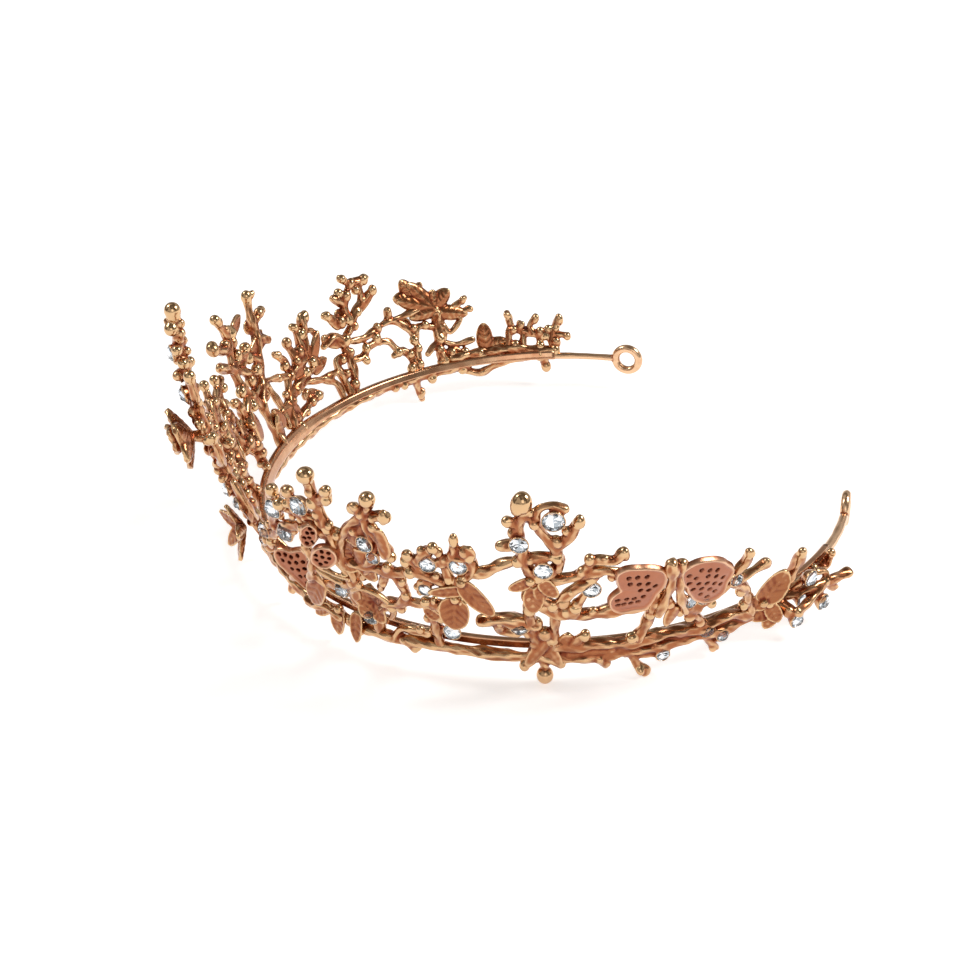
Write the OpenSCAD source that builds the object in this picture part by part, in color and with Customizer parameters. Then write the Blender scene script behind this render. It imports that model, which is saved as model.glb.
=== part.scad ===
// Bridal tiara: a rigid headband with twig rails, flower sprays, butterflies and set stones.
// Every place on the tiara is given as [u, z] or [u, z, o]: u is the angle round the head
// from the front centre (degrees, positive to the wearer's left, which is +X), z is the
// height above the middle of the headband, and o is the distance proud of the bowl surface.

/* [Headband] */
// Radius of the headband's middle line
band_r = 75; // [68:0.5:82]
// Height of the headband strip
band_h = 2.6; // [2:0.1:4]
// Thickness of the headband strip
band_t = 1.6; // [1.2:0.1:2.4]
// Angle from the front at which the strip meets each end wire
band_end = 121; // [118:1:124]
// Height of the headband's middle above the surface it rests on
band_lift = 9.35; // [9:0.05:11]

/* [Place] */
// How far right of the origin the headband circle's centre lies
centre_x = 0; // [-10:0.1:10]
// How far behind the origin the headband circle's centre lies
centre_y = 18.9; // [10:0.1:30]

/* [Bowl] */
// Outward lean of the sprays, in mm per mm of height
flare = 0.48; // [0.3:0.01:0.55]
// How fast the lean turns upright again, per mm
curl = 0.0035; // [0.002:0.0005:0.004]

/* [End rings] */
// Angle from the front to each ring's centre
ring_u = 137.4; // [136:0.1:139]
// Radius of each ring's wire middle line
ring_r = 3.45; // [3.3:0.05:3.8]
// Radius of the wire a ring is bent from
ring_wire_r = 1.2; // [1.1:0.05:1.3]
// Radius of the end wire between strip and ring
wire_r = 1.05; // [0.85:0.05:1.15]
// Radius of each ring's hole, which is reamed to a short straight wall
ring_bore_r = 2.4; // [2.3:0.05:2.6]

/* [Twigs] */
// Radius of a main stem
stem_r = 1.3; // [1:0.05:1.6]
// Radius of a side twig
twig_r = 1.05; // [0.8:0.05:1.3]
// Radius of a twig rail
rail_r = 1.2; // [1:0.05:1.5]

/* [Stones] */
// Diameter of a large stone
stone_l = 4.7; // [4:0.1:5]
// Diameter of a middle stone
stone_m = 3.9; // [3.2:0.1:4.2]
// Diameter of a small stone
stone_s = 3.1; // [2.6:0.1:3.3]

/* [Ornaments] */
// Thickness of a wing or petal plate
plate_t = 0.9; // [0.7:0.1:1.2]
// Radius of a pierced hole in a wing
pierce_r = 0.5; // [0.3:0.05:0.6]

/* [Hidden] */
copper = "#c8825a";
gold = "#e0b890";
clear = "#dfe8f2";
twig_fn = 6;
bead_fn = 8;
arc_fn = 96;

// Group names: a group's strokes, beads and stones are listed under the same name below
SPRAYS = [
  "twig_rail_front", "twig_rail_right", "twig_rail_right_end", "twig_rail_left",
  "twig_rail_left_end", "spray_centre_tall", "spray_centre_left", "spray_left_tall",
  "spray_left_fork", "spray_left_high", "link_left_arcs", "flower_branch_left",
  "sprig_left_end", "spray_front_right", "spray_right_rise", "spray_right_low",
  "link_right_upper", "link_right_lower", "spray_right_tall", "branch_right_upper", "branch_right_lower",
  "butterfly_right_legs", "sprig_right_mid", "sprig_right_end"
];

STONE_SETS = [
  "stones_centre", "stones_front_upper", "stones_front_lower", "stones_right_rise",
  "stones_right_low", "stones_right_tall", "stones_right_branch", "stones_right_end",
  "stones_left"
];

// ---- Places on the bowl ----
function bowl(z) = band_r + (z > 0 ? flare * z - curl * z * z : 0);
function off(p) = len(p) > 2 ? p[2] : 0;
function at(p, o = 0) =
  let (r = bowl(p[1]) + off(p) + o)
  [r * sin(p[0]) + centre_x, centre_y - r * cos(p[0]), p[1] + band_lift];

// Turn a shape drawn in the XY plane to face outward at p, leaning with the bowl and turned by yaw
module face_out(p, o = 0, lean = 0, spin = 0, yaw = 0)
  translate(at(p, o)) rotate([90 + lean, 0, p[0] + yaw]) rotate([0, 0, spin]) children();

// One tapering twig through the points pts, proud of the bowl by o
module twig(pts, r0 = twig_r, r1 = twig_r, o = 0) {
  n = len(pts) - 1;
  for (i = [0:n - 1])
    hull() {
      translate(at(pts[i], o)) sphere(r0 + (r1 - r0) * i / n, $fn = twig_fn);
      translate(at(pts[i + 1], o)) sphere(r0 + (r1 - r0) * (i + 1) / n, $fn = twig_fn);
    }
}

module bead(p, r, o = 0) translate(at(p, o)) sphere(r, $fn = bead_fn);

// A round stone in one piece: table, crown, girdle and pointed back, facing outward
module stone(p, d, lean = 8) {
  r = d / 2;
  face_out(p, 2, lean)
    rotate_extrude($fn = 32)
      polygon([[0, -0.55 * r], [0.9 * r, 0], [r, 0.12 * r], [0.55 * r, 0.5 * r], [0, 0.5 * r]]);
}

// The cup behind a stone, part of the casting, with a stalk to the casting's nearest joint
module cup(p, d, joint, lean = 8) {
  face_out(p, 2, lean) translate([0, 0, -1.9]) cylinder(1.8, 0.3 * d, 0.52 * d, $fn = bead_fn);
  hull() {
    translate(at(p, 1)) sphere(0.9, $fn = twig_fn);
    translate(joint) sphere(0.9, $fn = twig_fn);
  }
}

// An outline of a leaf or petal, length l along +Y from the root, width w
module leaf_outline(l, w)
  intersection() {
    ro = (l * l / 4 + w * w / 4) / w;
    translate([ro - w / 2, l / 2]) circle(ro, $fn = 48);
    translate([w / 2 - ro, l / 2]) circle(ro, $fn = 48);
  }

module leaf(p, l, w, spin = 0, lean = 12, o = 0, yaw = 0)
  face_out(p, o, lean, spin, yaw) linear_extrude(plate_t, center = true) leaf_outline(l, w);

// A flower of n open petals round a button, raised by cupping
module flower(p, n, l, w, lean = 10, cupping = 25, o = 0, yaw = 0)
  face_out(p, o, lean, 0, yaw) {
    translate([0, 0, -0.7]) cylinder(1.7, 1.5, 1.5, $fn = 32);
    for (i = [0:n - 1])
      rotate([0, 0, 360 / n * i]) rotate([cupping, 0, 0])
        linear_extrude(plate_t, center = true) translate([0, 1]) leaf_outline(l - 1, w);
  }

// ---- Design tables ----
// Strokes of one group: [points, first radius, last radius, proud distance]
function strokes(name) =
  name == "twig_rail_front" ? [
    [[[-22, -2], [-17, -2.6], [-11, -1.8], [-5, -2.4], [0, -1.8], [6, -2.4], [12, -3], [17, -2.4],
      [22, -3]], rail_r, rail_r, 0.8],
    [[[-12, -2], [-14, -6]], rail_r, 0.9, 0.8],
    [[[4, -2.2], [3, -5.5]], rail_r, 0.9, 0.8]
  ] :
  name == "twig_rail_right" ? [
    [[[21, -3], [26, -3], [31, -3], [36, -2.2], [42, -2], [48, -2], [54, -2.2], [60, -2.6]],
      rail_r, rail_r, 0.8],
    [[[33, -2.6], [35, -4.5]], rail_r, 1, 0.8],
    [[[31, -3], [33, 0.5], [38, 1.5]], 1, 1, 0.8]
  ] :
  name == "twig_rail_right_end" ? [
    [[[60, -2.6], [66, -2.6], [72, -2], [78, -2.2], [84, -1.8], [90, -2.4], [96, -1.8]],
      stem_r, stem_r, 0.8],
    [[[60, 1], [66, 1.5], [72, 0.5], [78, 1.5], [85, 0.5], [91, 1.5], [96, -1]], stem_r, stem_r, 1],
    [[[63, 1.5], [64.5, 5]], 1.6, 0.6, 1],
    [[[67.5, -3], [68.5, -5.5]], 1.6, 0.6, 0.8],
    [[[73, -2.5], [74, -6], [75.5, -8.4]], 1, 1.1, 0.8],
    [[[72, -2.5], [77, -4.2]], 1, 0.8, 0.8],
    [[[86.5, -2.5], [89, -6.8]], 1, 0.9, 0.8]
  ] :
  name == "twig_rail_left" ? [
    [[[-21, -2], [-28, -2.6], [-35, -2.8], [-42, -3], [-49, -3], [-56, -2.6], [-63, -2],
      [-70, -1.8], [-77, -1.6]], stem_r, rail_r, 0.4],
    [[[-33, -3], [-34, -8.2]], rail_r, 0.9, 0.8]
  ] :
  name == "twig_rail_left_end" ? [
    [[[-77, -1.4], [-84, -1.2], [-90, -1.2], [-96, -1], [-101, -0.6]], rail_r, rail_r, 0.8],
    [[[-84, -0.8], [-85.5, -1.8], [-87.5, -1.8]], 0.9, 0.8, 0.4],
    [[[-92.5, -0.8], [-92.5, -2.8]], 1.2, 1, 0.4],
    [[[-88.6, -1.5], [-89, -4], [-90, -8.4]], 1.1, 0.9, 0.6],
    [[[-98, -0.6], [-101, -2.4], [-104, -3.8], [-107, -2.2], [-110, -1], [-115, 0], [-121, 0.4]],
      0.9, 1.2, 0.4],
    [[[-118.5, -0.5], [-119, -4.2]], 1.1, 1.3, 0.6],
    [[[-98, 1.6], [-104, 2.2], [-110, 2.4], [-116, 1.8], [-120.4, 1.4]], 1.4, 1.2, 0.3]
  ] :
  name == "spray_centre_tall" ? [
    [[[-6, 0], [-8, 8], [-10.5, 16], [-9, 24], [-10.5, 32], [-10, 40], [-9.4, 48], [-10.4, 56],
      [-10, 62.6]], 1.4, 1, 0.5],
    [[[-8, 8], [-3.4, 12], [-2, 18], [-3, 23]], 1.1, 0.9, 0.5],
    [[[-9, 24], [-5, 28], [-4, 34]], 1, 0.9, 0.5],
    [[[-10, 40], [-7, 44], [-6.4, 49]], 1, 0.9, 0.5],
    [[[-10.5, 16], [-15, 20], [-17, 27]], 1.1, 0.9, 0.3],
    [[[-10.5, 32], [-14.6, 37], [-15.4, 42.6]], 1, 0.9, 0.3],
    [[[-9.4, 48], [-12.6, 52], [-13, 56]], 1, 0.9, 0.3],
    [[[-6, 3], [-1, 6], [3, 9], [7, 15]], 1.1, 1, 0.8],
    [[[-7, 4], [-13, 8], [-18, 13]], 1.1, 0.9, 0.3]
  ] :
  name == "spray_centre_left" ? [
    [[[-24, 0], [-24, 8], [-26, 16], [-25, 23], [-27, 30]], stem_r, 1, 0.3],
    [[[-24, 8], [-20, 14], [-21, 22], [-19, 28]], 1.1, 0.9, 0.3],
    [[[-26, 16], [-31, 20], [-33, 27]], 1.1, 0.9, 0.3],
    [[[-36, 0], [-35, 7], [-31, 13], [-31, 20]], 1.2, 1, 0.3],
    [[[-35, 7], [-38.5, 12], [-38, 19]], 1.1, 0.9, 0.3],
    [[[-25, 23], [-31, 26], [-36, 27]], 1, 0.9, 0.3]
  ] :
  name == "spray_left_tall" ? [
    [[[-46, 0], [-46.5, 6], [-46, 12], [-49, 17], [-51, 22], [-53, 28], [-53, 33], [-53.6, 37.5]],
      stem_r, 1.1, 0.3],
    [[[-46, 12], [-43, 18], [-42, 24], [-43, 30], [-44, 33.5]], 1.2, 1, 0.3],
    [[[-43, 30], [-39, 33], [-38, 34.6]], 1, 1.2, 0.3],
    [[[-44, 33.5], [-42.4, 38.4]], 1, 1, 0.3],
    [[[-53, 31], [-56, 32.6]], 1, 1.1, 0.3],
    [[[-51, 22], [-47, 26], [-43, 26]], 1.2, 1, 0.3],
    [[[-49, 17], [-44, 16]], 1.1, 1.1, 0.3],
    [[[-50.5, 15], [-51.5, 8], [-51, 3]], 0.9, 0.9, 0.3],
    [[[-49, 17], [-53, 15.5], [-57.5, 13.5]], 0.9, 0.9, 0.3],
    [[[-43, 18], [-38, 13]], 1, 0.9, 0.3]
  ] :
  name == "spray_left_fork" ? [
    [[[-57.5, 13.5], [-60.5, 14.5], [-63.5, 15.5], [-65, 20], [-66, 25]], 1.1, 1.2, 0.3],
    [[[-63.5, 16], [-63.5, 23.5]], 1.1, 0.9, 0.3],
    [[[-61.5, 15], [-60, 21]], 1.1, 0.9, 0.3],
    [[[-58.5, 14.5], [-57.8, 17.5], [-56, 20.5]], 0.9, 0.9, 0.3],
    [[[-57, 13.6], [-55, 9], [-53, 4], [-52, 0]], 1.1, 1.1, 0.3],
    [[[-55, 9], [-61, 11], [-66.5, 12]], 1.1, 1, 0.3],
    [[[-71, 8], [-66, 8], [-61, 9.5], [-56, 8.5], [-51, 7.5]], 0.9, 0.9, 0.3],
    [[[-64, 5], [-59, 4], [-54, 2.5]], 0.9, 1, 0.3],
    [[[-69.5, 0], [-69, 5], [-66, 8]], 1, 0.9, 0.3],
    [[[-53.5, 7], [-53.6, 3], [-51, 1]], 0.8, 0.8, 0.3]
  ] :
  name == "spray_left_high" ? [
    [[[-72.5, 0], [-74, 5], [-74.3, 10], [-74, 14.5], [-76.5, 17], [-79, 21.5], [-83.5, 25.5]],
      1.2, 0.9, 0.3],
    [[[-77, 18], [-76.5, 22], [-77, 25], [-79, 28.5], [-82.5, 29]], 1, 1, 0.3],
    [[[-79, 28.5], [-77.2, 31]], 0.9, 0.9, 0.3],
    [[[-76.5, 24], [-74.5, 26.5]], 1, 1, 0.3],
    [[[-76.5, 21], [-74, 20.5], [-71.5, 23]], 1.1, 0.9, 0.3],
    [[[-74, 14.5], [-72, 16.8], [-69, 15.5]], 1.4, 1.1, 0.3],
    [[[-71.8, 0], [-71.2, 5], [-70.8, 10.5], [-74, 11]], 1.1, 0.9, 0.3],
    [[[-81, 29], [-80.6, 24], [-79, 21.5]], 0.9, 0.8, 0.3]
  ] :
  name == "link_left_arcs" ? [
    [[[-74.3, 9], [-77.5, 9], [-80, 11], [-84, 10.6], [-86, 7.5], [-88, 6], [-89.5, 1]], 0.9, 1, 0.3],
    [[[-75.5, 14], [-79, 13.5], [-82, 14.5], [-86, 15.5], [-89.5, 12], [-90.5, 7], [-88, 6]],
      0.9, 0.9, 0.3],
    [[[-86, 15.5], [-93, 17]], 0.9, 0.9, 0.3],
    [[[-85, 15.5], [-85.8, 18.5]], 0.8, 0.9, 0.3],
    [[[-82, 14.5], [-82.3, 10.8]], 0.8, 0.8, 0.3],
    [[[-87, 7], [-84.8, 6.4]], 0.8, 0.8, 0.3],
    [[[-79, 10.5], [-78, 8]], 0.8, 0.8, 0.3]
  ] :
  name == "flower_branch_left" ? [
    [[[-96, 1], [-95.5, 6], [-95.8, 11], [-96, 14.6]], stem_r, stem_r, 0.3],
    [[[-95.8, 11], [-91.5, 12], [-90.5, 7], [-90, 1]], 0.9, 0.9, 0.3],
    [[[-99.6, 14], [-101, 12], [-98.5, 9], [-97, 11]], 0.9, 0.8, 0.3],
    [[[-98.6, 14.6], [-100, 15.5], [-102.5, 17.5]], 0.9, 0.9, 0.3],
    [[[-101, 13.5], [-103.2, 14.6]], 0.8, 0.8, 0.3],
    [[[-103, 6], [-99, 5.5], [-95.5, 7], [-92.5, 4.5]], 0.8, 0.8, 0.3],
    [[[-101.5, 2], [-98, 4.4], [-95, 1.5]], 0.8, 0.8, 0.3]
  ] :
  name == "sprig_left_end" ? [
    [[[-121, 1], [-120.3, 4.5], [-121.8, 9.8]], 0.9, 1, 0.3],
    [[[-120.8, 5.6], [-123.8, 5.4]], 0.8, 0.9, 0.3],
    [[[-120.3, 6.8], [-117.5, 5.6], [-114.5, 6.4], [-112, 8], [-111, 12]], 0.8, 0.9, 0.3],
    [[[-116.6, 6], [-115.6, 8], [-117, 10.6]], 0.8, 0.9, 0.3],
    [[[-113.8, 6.4], [-113.5, 9]], 0.8, 0.9, 0.3],
    [[[-114.2, 6.2], [-114, 1]], 0.9, 1.1, 0.3],
    [[[-117.6, 5.6], [-117.8, 1]], 0.8, 0.8, 0.3],
    [[[-111.3, 7.5], [-110.6, 2]], 0.8, 1, 0.3]
  ] :
  name == "spray_front_right" ? [
    [[[25.5, 0], [26, 7], [26.5, 14], [25.5, 21], [25.5, 29], [25, 36], [24.3, 42]],
      stem_r, 1, 0.8],
    [[[25.3, 31], [21, 31.5], [17, 31], [15.4, 34]], 1.1, 0.9, 0.8],
    [[[19.5, 31.5], [19.2, 36]], 1, 0.9, 0.8],
    [[[25, 37], [27.2, 40]], 1, 1, 0.8],
    [[[25.5, 28], [20, 27], [15, 24], [10, 18], [5, 15], [1, 9]], 1.2, 1.1, 0.8],
    [[[26.5, 13], [21, 9.5], [15, 6], [9, 3], [4, -1]], 1.2, 1.1, 0.8],
    [[[10, 18], [12, 24], [16, 30]], 1, 1, 0.8],
    [[[5, 15], [9, 9], [15, 6]], 1, 1, 0.3]
  ] :
  name == "spray_right_rise" ? [
    [[[26, 12], [27.4, 16], [26.6, 21], [27.5, 27], [30, 33], [32.6, 37], [34.2, 40.6]],
      1.1, 1, 0.8],
    [[[33.4, 37.4], [36.4, 38.4]], 1, 1, 0.8],
    [[[33, 37], [31.8, 39]], 1, 1, 0.8],
    [[[33.2, 36.5], [33.2, 31], [33, 26], [31, 22], [28, 21]], 1, 1.1, 0.8],
    [[[33.6, 35], [34.8, 31], [35.3, 27.8]], 1, 1.2, 0.8],
    [[[28, 21], [33, 21.5], [36.5, 22], [39.5, 24]], 1.2, 1.2, 0.8],
    [[[31.6, 21], [29.4, 17]], 1, 1.1, 0.8],
    [[[34, 20.5], [32.2, 15]], 1, 1.1, 0.8],
    [[[35.6, 21], [36.6, 15.5], [35, 11], [31.5, 9], [29, 4], [28, -2]], 1.1, 1.2, 0.8],
    [[[36.2, 12.4], [40, 12.6], [44, 12]], 1, 1.1, 0.8]
  ] :
  name == "spray_right_low" ? [
    [[[39.5, 24], [42, 22.5], [45, 20.5], [48, 19.5]], 1.2, 1.1, 0.8],
    [[[38.8, 28], [40, 25], [41, 22.8]], 1.1, 1, 0.8],
    [[[40.4, 27], [41.4, 29.5], [43, 31.6]], 1.2, 1.1, 0.8],
    [[[44, 28], [45.8, 30.4], [46.3, 34.8]], 1.1, 0.9, 0.8],
    [[[45.8, 30.4], [48.2, 30], [48.4, 26], [46.4, 22.4], [45, 20.5]], 1.1, 1.1, 0.8],
    [[[44, 28], [44.6, 24], [45, 20.5]], 0.9, 0.9, 0.8],
    [[[39.4, 17], [39.8, 20], [42, 21]], 0.9, 0.9, 0.8],
    [[[39.6, 14], [42, 13.6], [45, 15], [46, 19.4]], 0.9, 0.9, 0.8],
    [[[41, 13], [40.4, 8], [40, 3], [40, -1.5]], 1.2, 1.1, 0.8]
  ] :
  name == "link_right_upper" ? [
    [[[48.4, 25.6], [50.5, 26.4], [53, 29], [55.8, 30.5]], 1.1, 1.2, 0.8]
  ] :
  name == "link_right_lower" ? [
    [[[48.5, 9.5], [51, 10.5], [53.5, 10.5], [57, 9.5]], 1.5, 1.5, 0.8],
    [[[51.2, 9.5], [51.4, 6.6], [54, 6]], 1.2, 1, 0.8]
  ] :
  name == "spray_right_tall" ? [
    [[[56.6, -2], [57, 3], [56.4, 9], [56.2, 14], [56.8, 19], [57.2, 25], [55.8, 30], [55.8, 34],
      [55.4, 39], [56.2, 44]], 1.3, 1.1, 0.8],
    [[[55.8, 30.5], [58, 31.4], [60.6, 31], [60.6, 28]], 1.2, 1.1, 0.8],
    [[[60.6, 31], [60.2, 34.5], [58.6, 38], [57.6, 41], [56.6, 43]], 1.1, 1, 0.8],
    [[[57.8, 40], [58, 44], [59.6, 45.4], [61.6, 44.4]], 0.9, 0.9, 0.6],
    [[[60.3, 33.5], [62, 36.6], [63.3, 40.4]], 1.1, 1.1, 0.8],
    [[[55.6, 40.4], [54, 41.4]], 1, 1.1, 0.8],
    [[[55.6, 35], [53, 34.4]], 1, 1.1, 0.8],
    [[[57.4, 19], [59.6, 16], [60, 11], [59.8, 5], [58.6, -2]], 1.1, 1.2, 0.8],
    [[[60.6, 28], [59.2, 25.5], [57.2, 24.5]], 1, 1, 0.8]
  ] :
  name == "branch_right_upper" ? [
    [[[58.6, 24.4], [61.5, 24.6], [63.6, 25.6], [65, 28.6], [66, 30], [68.6, 29.2], [69.7, 31.2]],
      1.1, 1, 0.8],
    [[[63.6, 25.6], [66.5, 26.6], [69, 25.6], [70.5, 24.5]], 1.1, 1, 0.8],
    [[[66, 26.6], [65.8, 24.4], [62.6, 20.6], [60.4, 16.4]], 1.1, 1.2, 0.8]
  ] :
  name == "branch_right_lower" ? [
    [[[58.5, 15.6], [61, 13.4], [64, 12.4], [67, 13], [70, 13.6], [74, 13.4]], 1.3, 1.3, 0.8],
    [[[62.6, 13.6], [63.6, 16.4]], 1.4, 1.2, 0.8]
  ] :
  name == "butterfly_right_legs" ? [
    [[[75.6, 17], [75.2, 10], [74.6, 5], [73, 0]], 1.1, 1.3, 0.8],
    [[[76.8, 17], [78.4, 12], [81.2, 9], [84, 5], [86.4, 0]], 1, 1.1, 0.8],
    [[[81.2, 9], [84.4, 10], [88, 14.6]], 1, 1, 0.8],
    [[[80, 14], [82, 10.4]], 0.9, 0.9, 0.8]
  ] :
  name == "sprig_right_mid" ? [
    [[[88, 14.6], [89, 18], [90, 20], [90.2, 22.6]], 1.1, 1, 0.8],
    [[[89, 14], [92, 15.6], [94.6, 16.9]], 1, 1.1, 0.8],
    [[[89, 14], [91.6, 11], [93.4, 7], [95, 3], [96.4, -1.4]], 1.1, 1.2, 0.8]
  ] :
  name == "sprig_right_end" ? [
    [[[96, -1.4], [100, 1], [104, 0], [109, 0.6], [114, 0], [119, 0.4]], stem_r, 1, 0.8],
    [[[102, 1], [103.6, 6], [103.6, 12.6]], 1.5, 1.1, 0.8],
    [[[114, 0.4, 1], [117, -0.7, 2], [117.6, 1.8, 2]], 1.1, 1.2, 0],
    [[[103, -0.6, 1.5], [107.6, -0.2, 4], [111.6, 0.1, 6], [116.7, -0.5, 8]], 1.3, 1.2, 0],
    [[[111.6, 0.1, 6], [113.9, -2.6, 6.5]], 1.1, 1.2, 0],
    [[[111.6, 0.1, 6], [112.2, 2.2, 4.4], [110.6, 3, 3]], 1, 1, 0],
    [[[111.6, 0.1, 6], [107.8, -1.7, 6], [103.2, -2, 7]], 1.2, 1.5, 0],
    [[[102, -0.6, 1.6], [102.6, -2.2, 5]], 1.6, 1.8, 0],
    [[[109.8, -0.8, 6], [110.2, -3.4, 6.4]], 1, 1, 0],
    [[[105.4, 0, 2], [106.8, 3.2, 2.6]], 1.1, 1, 0]
  ] : [];

// Bead tips of one group: [place, radius]
function beads(name) =
  name == "spray_centre_tall" ? [
    [[-10, 64.6, 0.5], 2], [[-9.6, 60.4, 1.8], 1.7], [[-6.3, 50.2, 0.6], 1.5],
    [[-4, 35.2, 0.6], 1.4], [[-15.6, 43.8, 0.4], 1.5], [[-13.1, 57.2, 0.4], 1.4],
    [[-17.2, 28.2, 0.4], 1.4], [[-18.6, 14, 0.4], 1.3]
  ] :
  name == "spray_centre_left" ? [[[-27.4, 31.6, 0.4], 1.4], [[-33.4, 28.6, 0.4], 1.4]] :
  name == "spray_left_tall" ? [
    [[-53.7, 38.2, 0.3], 1.7], [[-56.4, 32.8, 0.3], 1.5], [[-45.2, 34.2, 0.3], 1.6],
    [[-42, 39.4, 0.3], 1.5], [[-37.6, 35, 0.3], 1.6]
  ] :
  name == "spray_left_fork" ? [[[-66.2, 25.4, 0.3], 1.5], [[-63, 24.2, 0.3], 1.2]] :
  name == "spray_left_high" ? [[[-82.2, 29, 0.3], 1.4], [[-76, 27.4, 0.3], 1.4]] :
  name == "spray_front_right" ? [
    [[24.2, 44.2, 1], 2], [[27.5, 41.4, 1], 1.4], [[15.3, 34.8, 1], 1.6], [[19.1, 36.8, 1], 1.6],
    [[17.1, 32.2, 2], 1.6]
  ] :
  name == "spray_right_rise" ? [
    [[34.3, 42.4, 1], 1.9], [[31.5, 38.9, 1], 1.3], [[36.6, 38.4, 1], 1.5]
  ] :
  name == "spray_right_low" ? [[[38.8, 28.4, 1], 1.4], [[43, 31.8, 1], 1.4], [[46.3, 35, 1], 1.2]] :
  name == "spray_right_tall" ? [
    [[56.1, 46.4, 1], 2.3], [[63.5, 41, 1], 1.4], [[53.9, 41.3, 1], 1.3], [[52.8, 34.4, 1], 1.3]
  ] :
  name == "branch_right_upper" ? [[[69.8, 31.4, 1], 1.2]] :
  name == "sprig_right_mid" ? [[[90.2, 22.6, 1], 1.3]] :
  name == "sprig_right_end" ? [[[103.6, 13, 1], 1.3]] : [];

// Stones of one set: [place, diameter]
function stones(name) =
  name == "stones_centre" ? [
    [[-10, 54, 1], stone_m], [[-10.6, 47.6, 0.6], stone_s], [[-9.4, 43.6, 1], stone_m],
    [[-10.4, 15.6, 1], stone_m], [[-15.4, 37.6, 0.4], stone_s], [[-2.6, 17.6, 0.6], stone_s]
  ] :
  name == "stones_front_upper" ? [
    [[15.2, 29.9], stone_l], [[21.6, 34.7], stone_l], [[15.4, 22.8], stone_l],
    [[7.1, 17.2], stone_m]
  ] :
  name == "stones_front_lower" ? [
    [[23.7, 9.8], stone_m], [[28.4, 3.9], stone_m], [[3, 11], stone_s]
  ] :
  name == "stones_right_rise" ? [[[32.4, 29.4], stone_m], [[33.2, 25.6], stone_s]] :
  name == "stones_right_low" ? [
    [[42, 27.2], stone_m], [[46.6, 27.8], stone_m], [[40.7, 18.8], stone_s], [[43.2, 4.8], stone_m]
  ] :
  name == "stones_right_tall" ? [
    [[60.1, 42.2], stone_l], [[55.5, 36.1], stone_m], [[58.6, 28.3], stone_m],
    [[54.5, 8.8], stone_m]
  ] :
  name == "stones_right_branch" ? [
    [[65.4, 21.5], stone_m], [[81.2, 12.4], stone_s], [[83.6, 12.4], stone_s],
    [[88.7, 15.8], stone_s]
  ] :
  name == "stones_right_end" ? [
    [[78.4, -4.2], stone_s], [[86.6, -0.5], stone_m], [[89.8, -3.4], stone_s],
    [[107.2, 4.2, 2.4], stone_m], [[106.4, -1.9, 2.8], stone_s], [[110.2, -4.1, 5.4], stone_m],
    [[103.4, -4.4, 5], stone_m]
  ] :
  name == "stones_left" ? [
    [[-53, 30], stone_m], [[-46, 24], stone_m], [[-64, 16], stone_m], [[-75.6, 21], stone_s],
    [[-89.5, 13], stone_s], [[-115, 6], stone_s], [[-61, 6], stone_s], [[-34, 18], stone_m]
  ] : [];

// The stones whose cups belong to each casting
function cups(name) =
  name == "spray_centre_tall" ? stones("stones_centre") :
  name == "spray_front_right" ? concat(stones("stones_front_upper"), stones("stones_front_lower")) :
  name == "spray_right_rise" ? stones("stones_right_rise") :
  name == "spray_right_low" ? stones("stones_right_low") :
  name == "spray_right_tall" ? stones("stones_right_tall") :
  name == "sprig_right_mid" ? [stones("stones_right_branch")[3]] :
  name == "branch_right_lower" ? [stones("stones_right_branch")[0]] :
  name == "butterfly_right_legs" ? [for (i = [1, 2]) stones("stones_right_branch")[i]] :
  name == "twig_rail_right_end" ? [for (i = [0:2]) stones("stones_right_end")[i]] :
  name == "sprig_right_end" ? [for (i = [3:6]) stones("stones_right_end")[i]] :
  name == "spray_left_tall" ? [for (i = [0, 1]) stones("stones_left")[i]] :
  name == "spray_left_fork" ? [for (i = [2, 6]) stones("stones_left")[i]] :
  name == "spray_left_high" ? [stones("stones_left")[3]] :
  name == "link_left_arcs" ? [stones("stones_left")[4]] :
  name == "sprig_left_end" ? [stones("stones_left")[5]] :
  name == "spray_centre_left" ? [stones("stones_left")[7]] : [];

// The point of a casting's strokes that lies nearest to q
function joints(name) = [for (s = strokes(name), p = s[0]) at(p, s[3])];
function nearest(name, q) =
  let (pts = joints(name), d = [for (p = pts) norm(p - q)])
  pts[search(min(d), d)[0]];

// ---- Headband and end rings ----
module headband_strip()
  color(copper)
    translate([centre_x, centre_y, band_lift]) rotate([0, 0, -90 - band_end])
      rotate_extrude(angle = 2 * band_end, $fn = arc_fn)
        translate([band_r - 0.8, 0.6]) square([band_t, band_h], center = true);

// A ring with its axis pointing outward, and the wire that joins it to the strip
module eyelet(side) {
  wire_end = ring_u - (ring_r - 0.3) / (band_r * PI / 180);
  wire_start = band_end - 3;
  color(copper)
    union() {
      translate(at([side * ring_u, 0])) rotate([90, 0, side * ring_u])
        difference() {
          rotate_extrude($fn = 48) translate([ring_r, 0]) circle(ring_wire_r, $fn = 24);
          cylinder(3 * ring_wire_r, ring_bore_r, ring_bore_r, center = true, $fn = 48);
        }
      translate([centre_x, centre_y, band_lift])
        rotate([0, 0, -90 + (side > 0 ? wire_start : -wire_end)])
          rotate_extrude(angle = wire_end - wire_start, $fn = arc_fn)
            translate([band_r, 0]) circle(wire_r, $fn = 24);
    }
}

module eyelet_left() eyelet(-1);
module eyelet_right() eyelet(1);

// ---- Castings and stones ----
module casting(name)
  color(copper)
    union() {
      for (s = strokes(name)) twig(s[0], s[1], s[2], s[3]);
      for (b = beads(name)) bead(b[0], b[1]);
      for (c = cups(name)) cup(c[0], c[1], nearest(name, at(c[0], 1)));
    }

module stone_set(name)
  color(clear) for (s = stones(name)) stone(s[0], s[1]);

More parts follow.
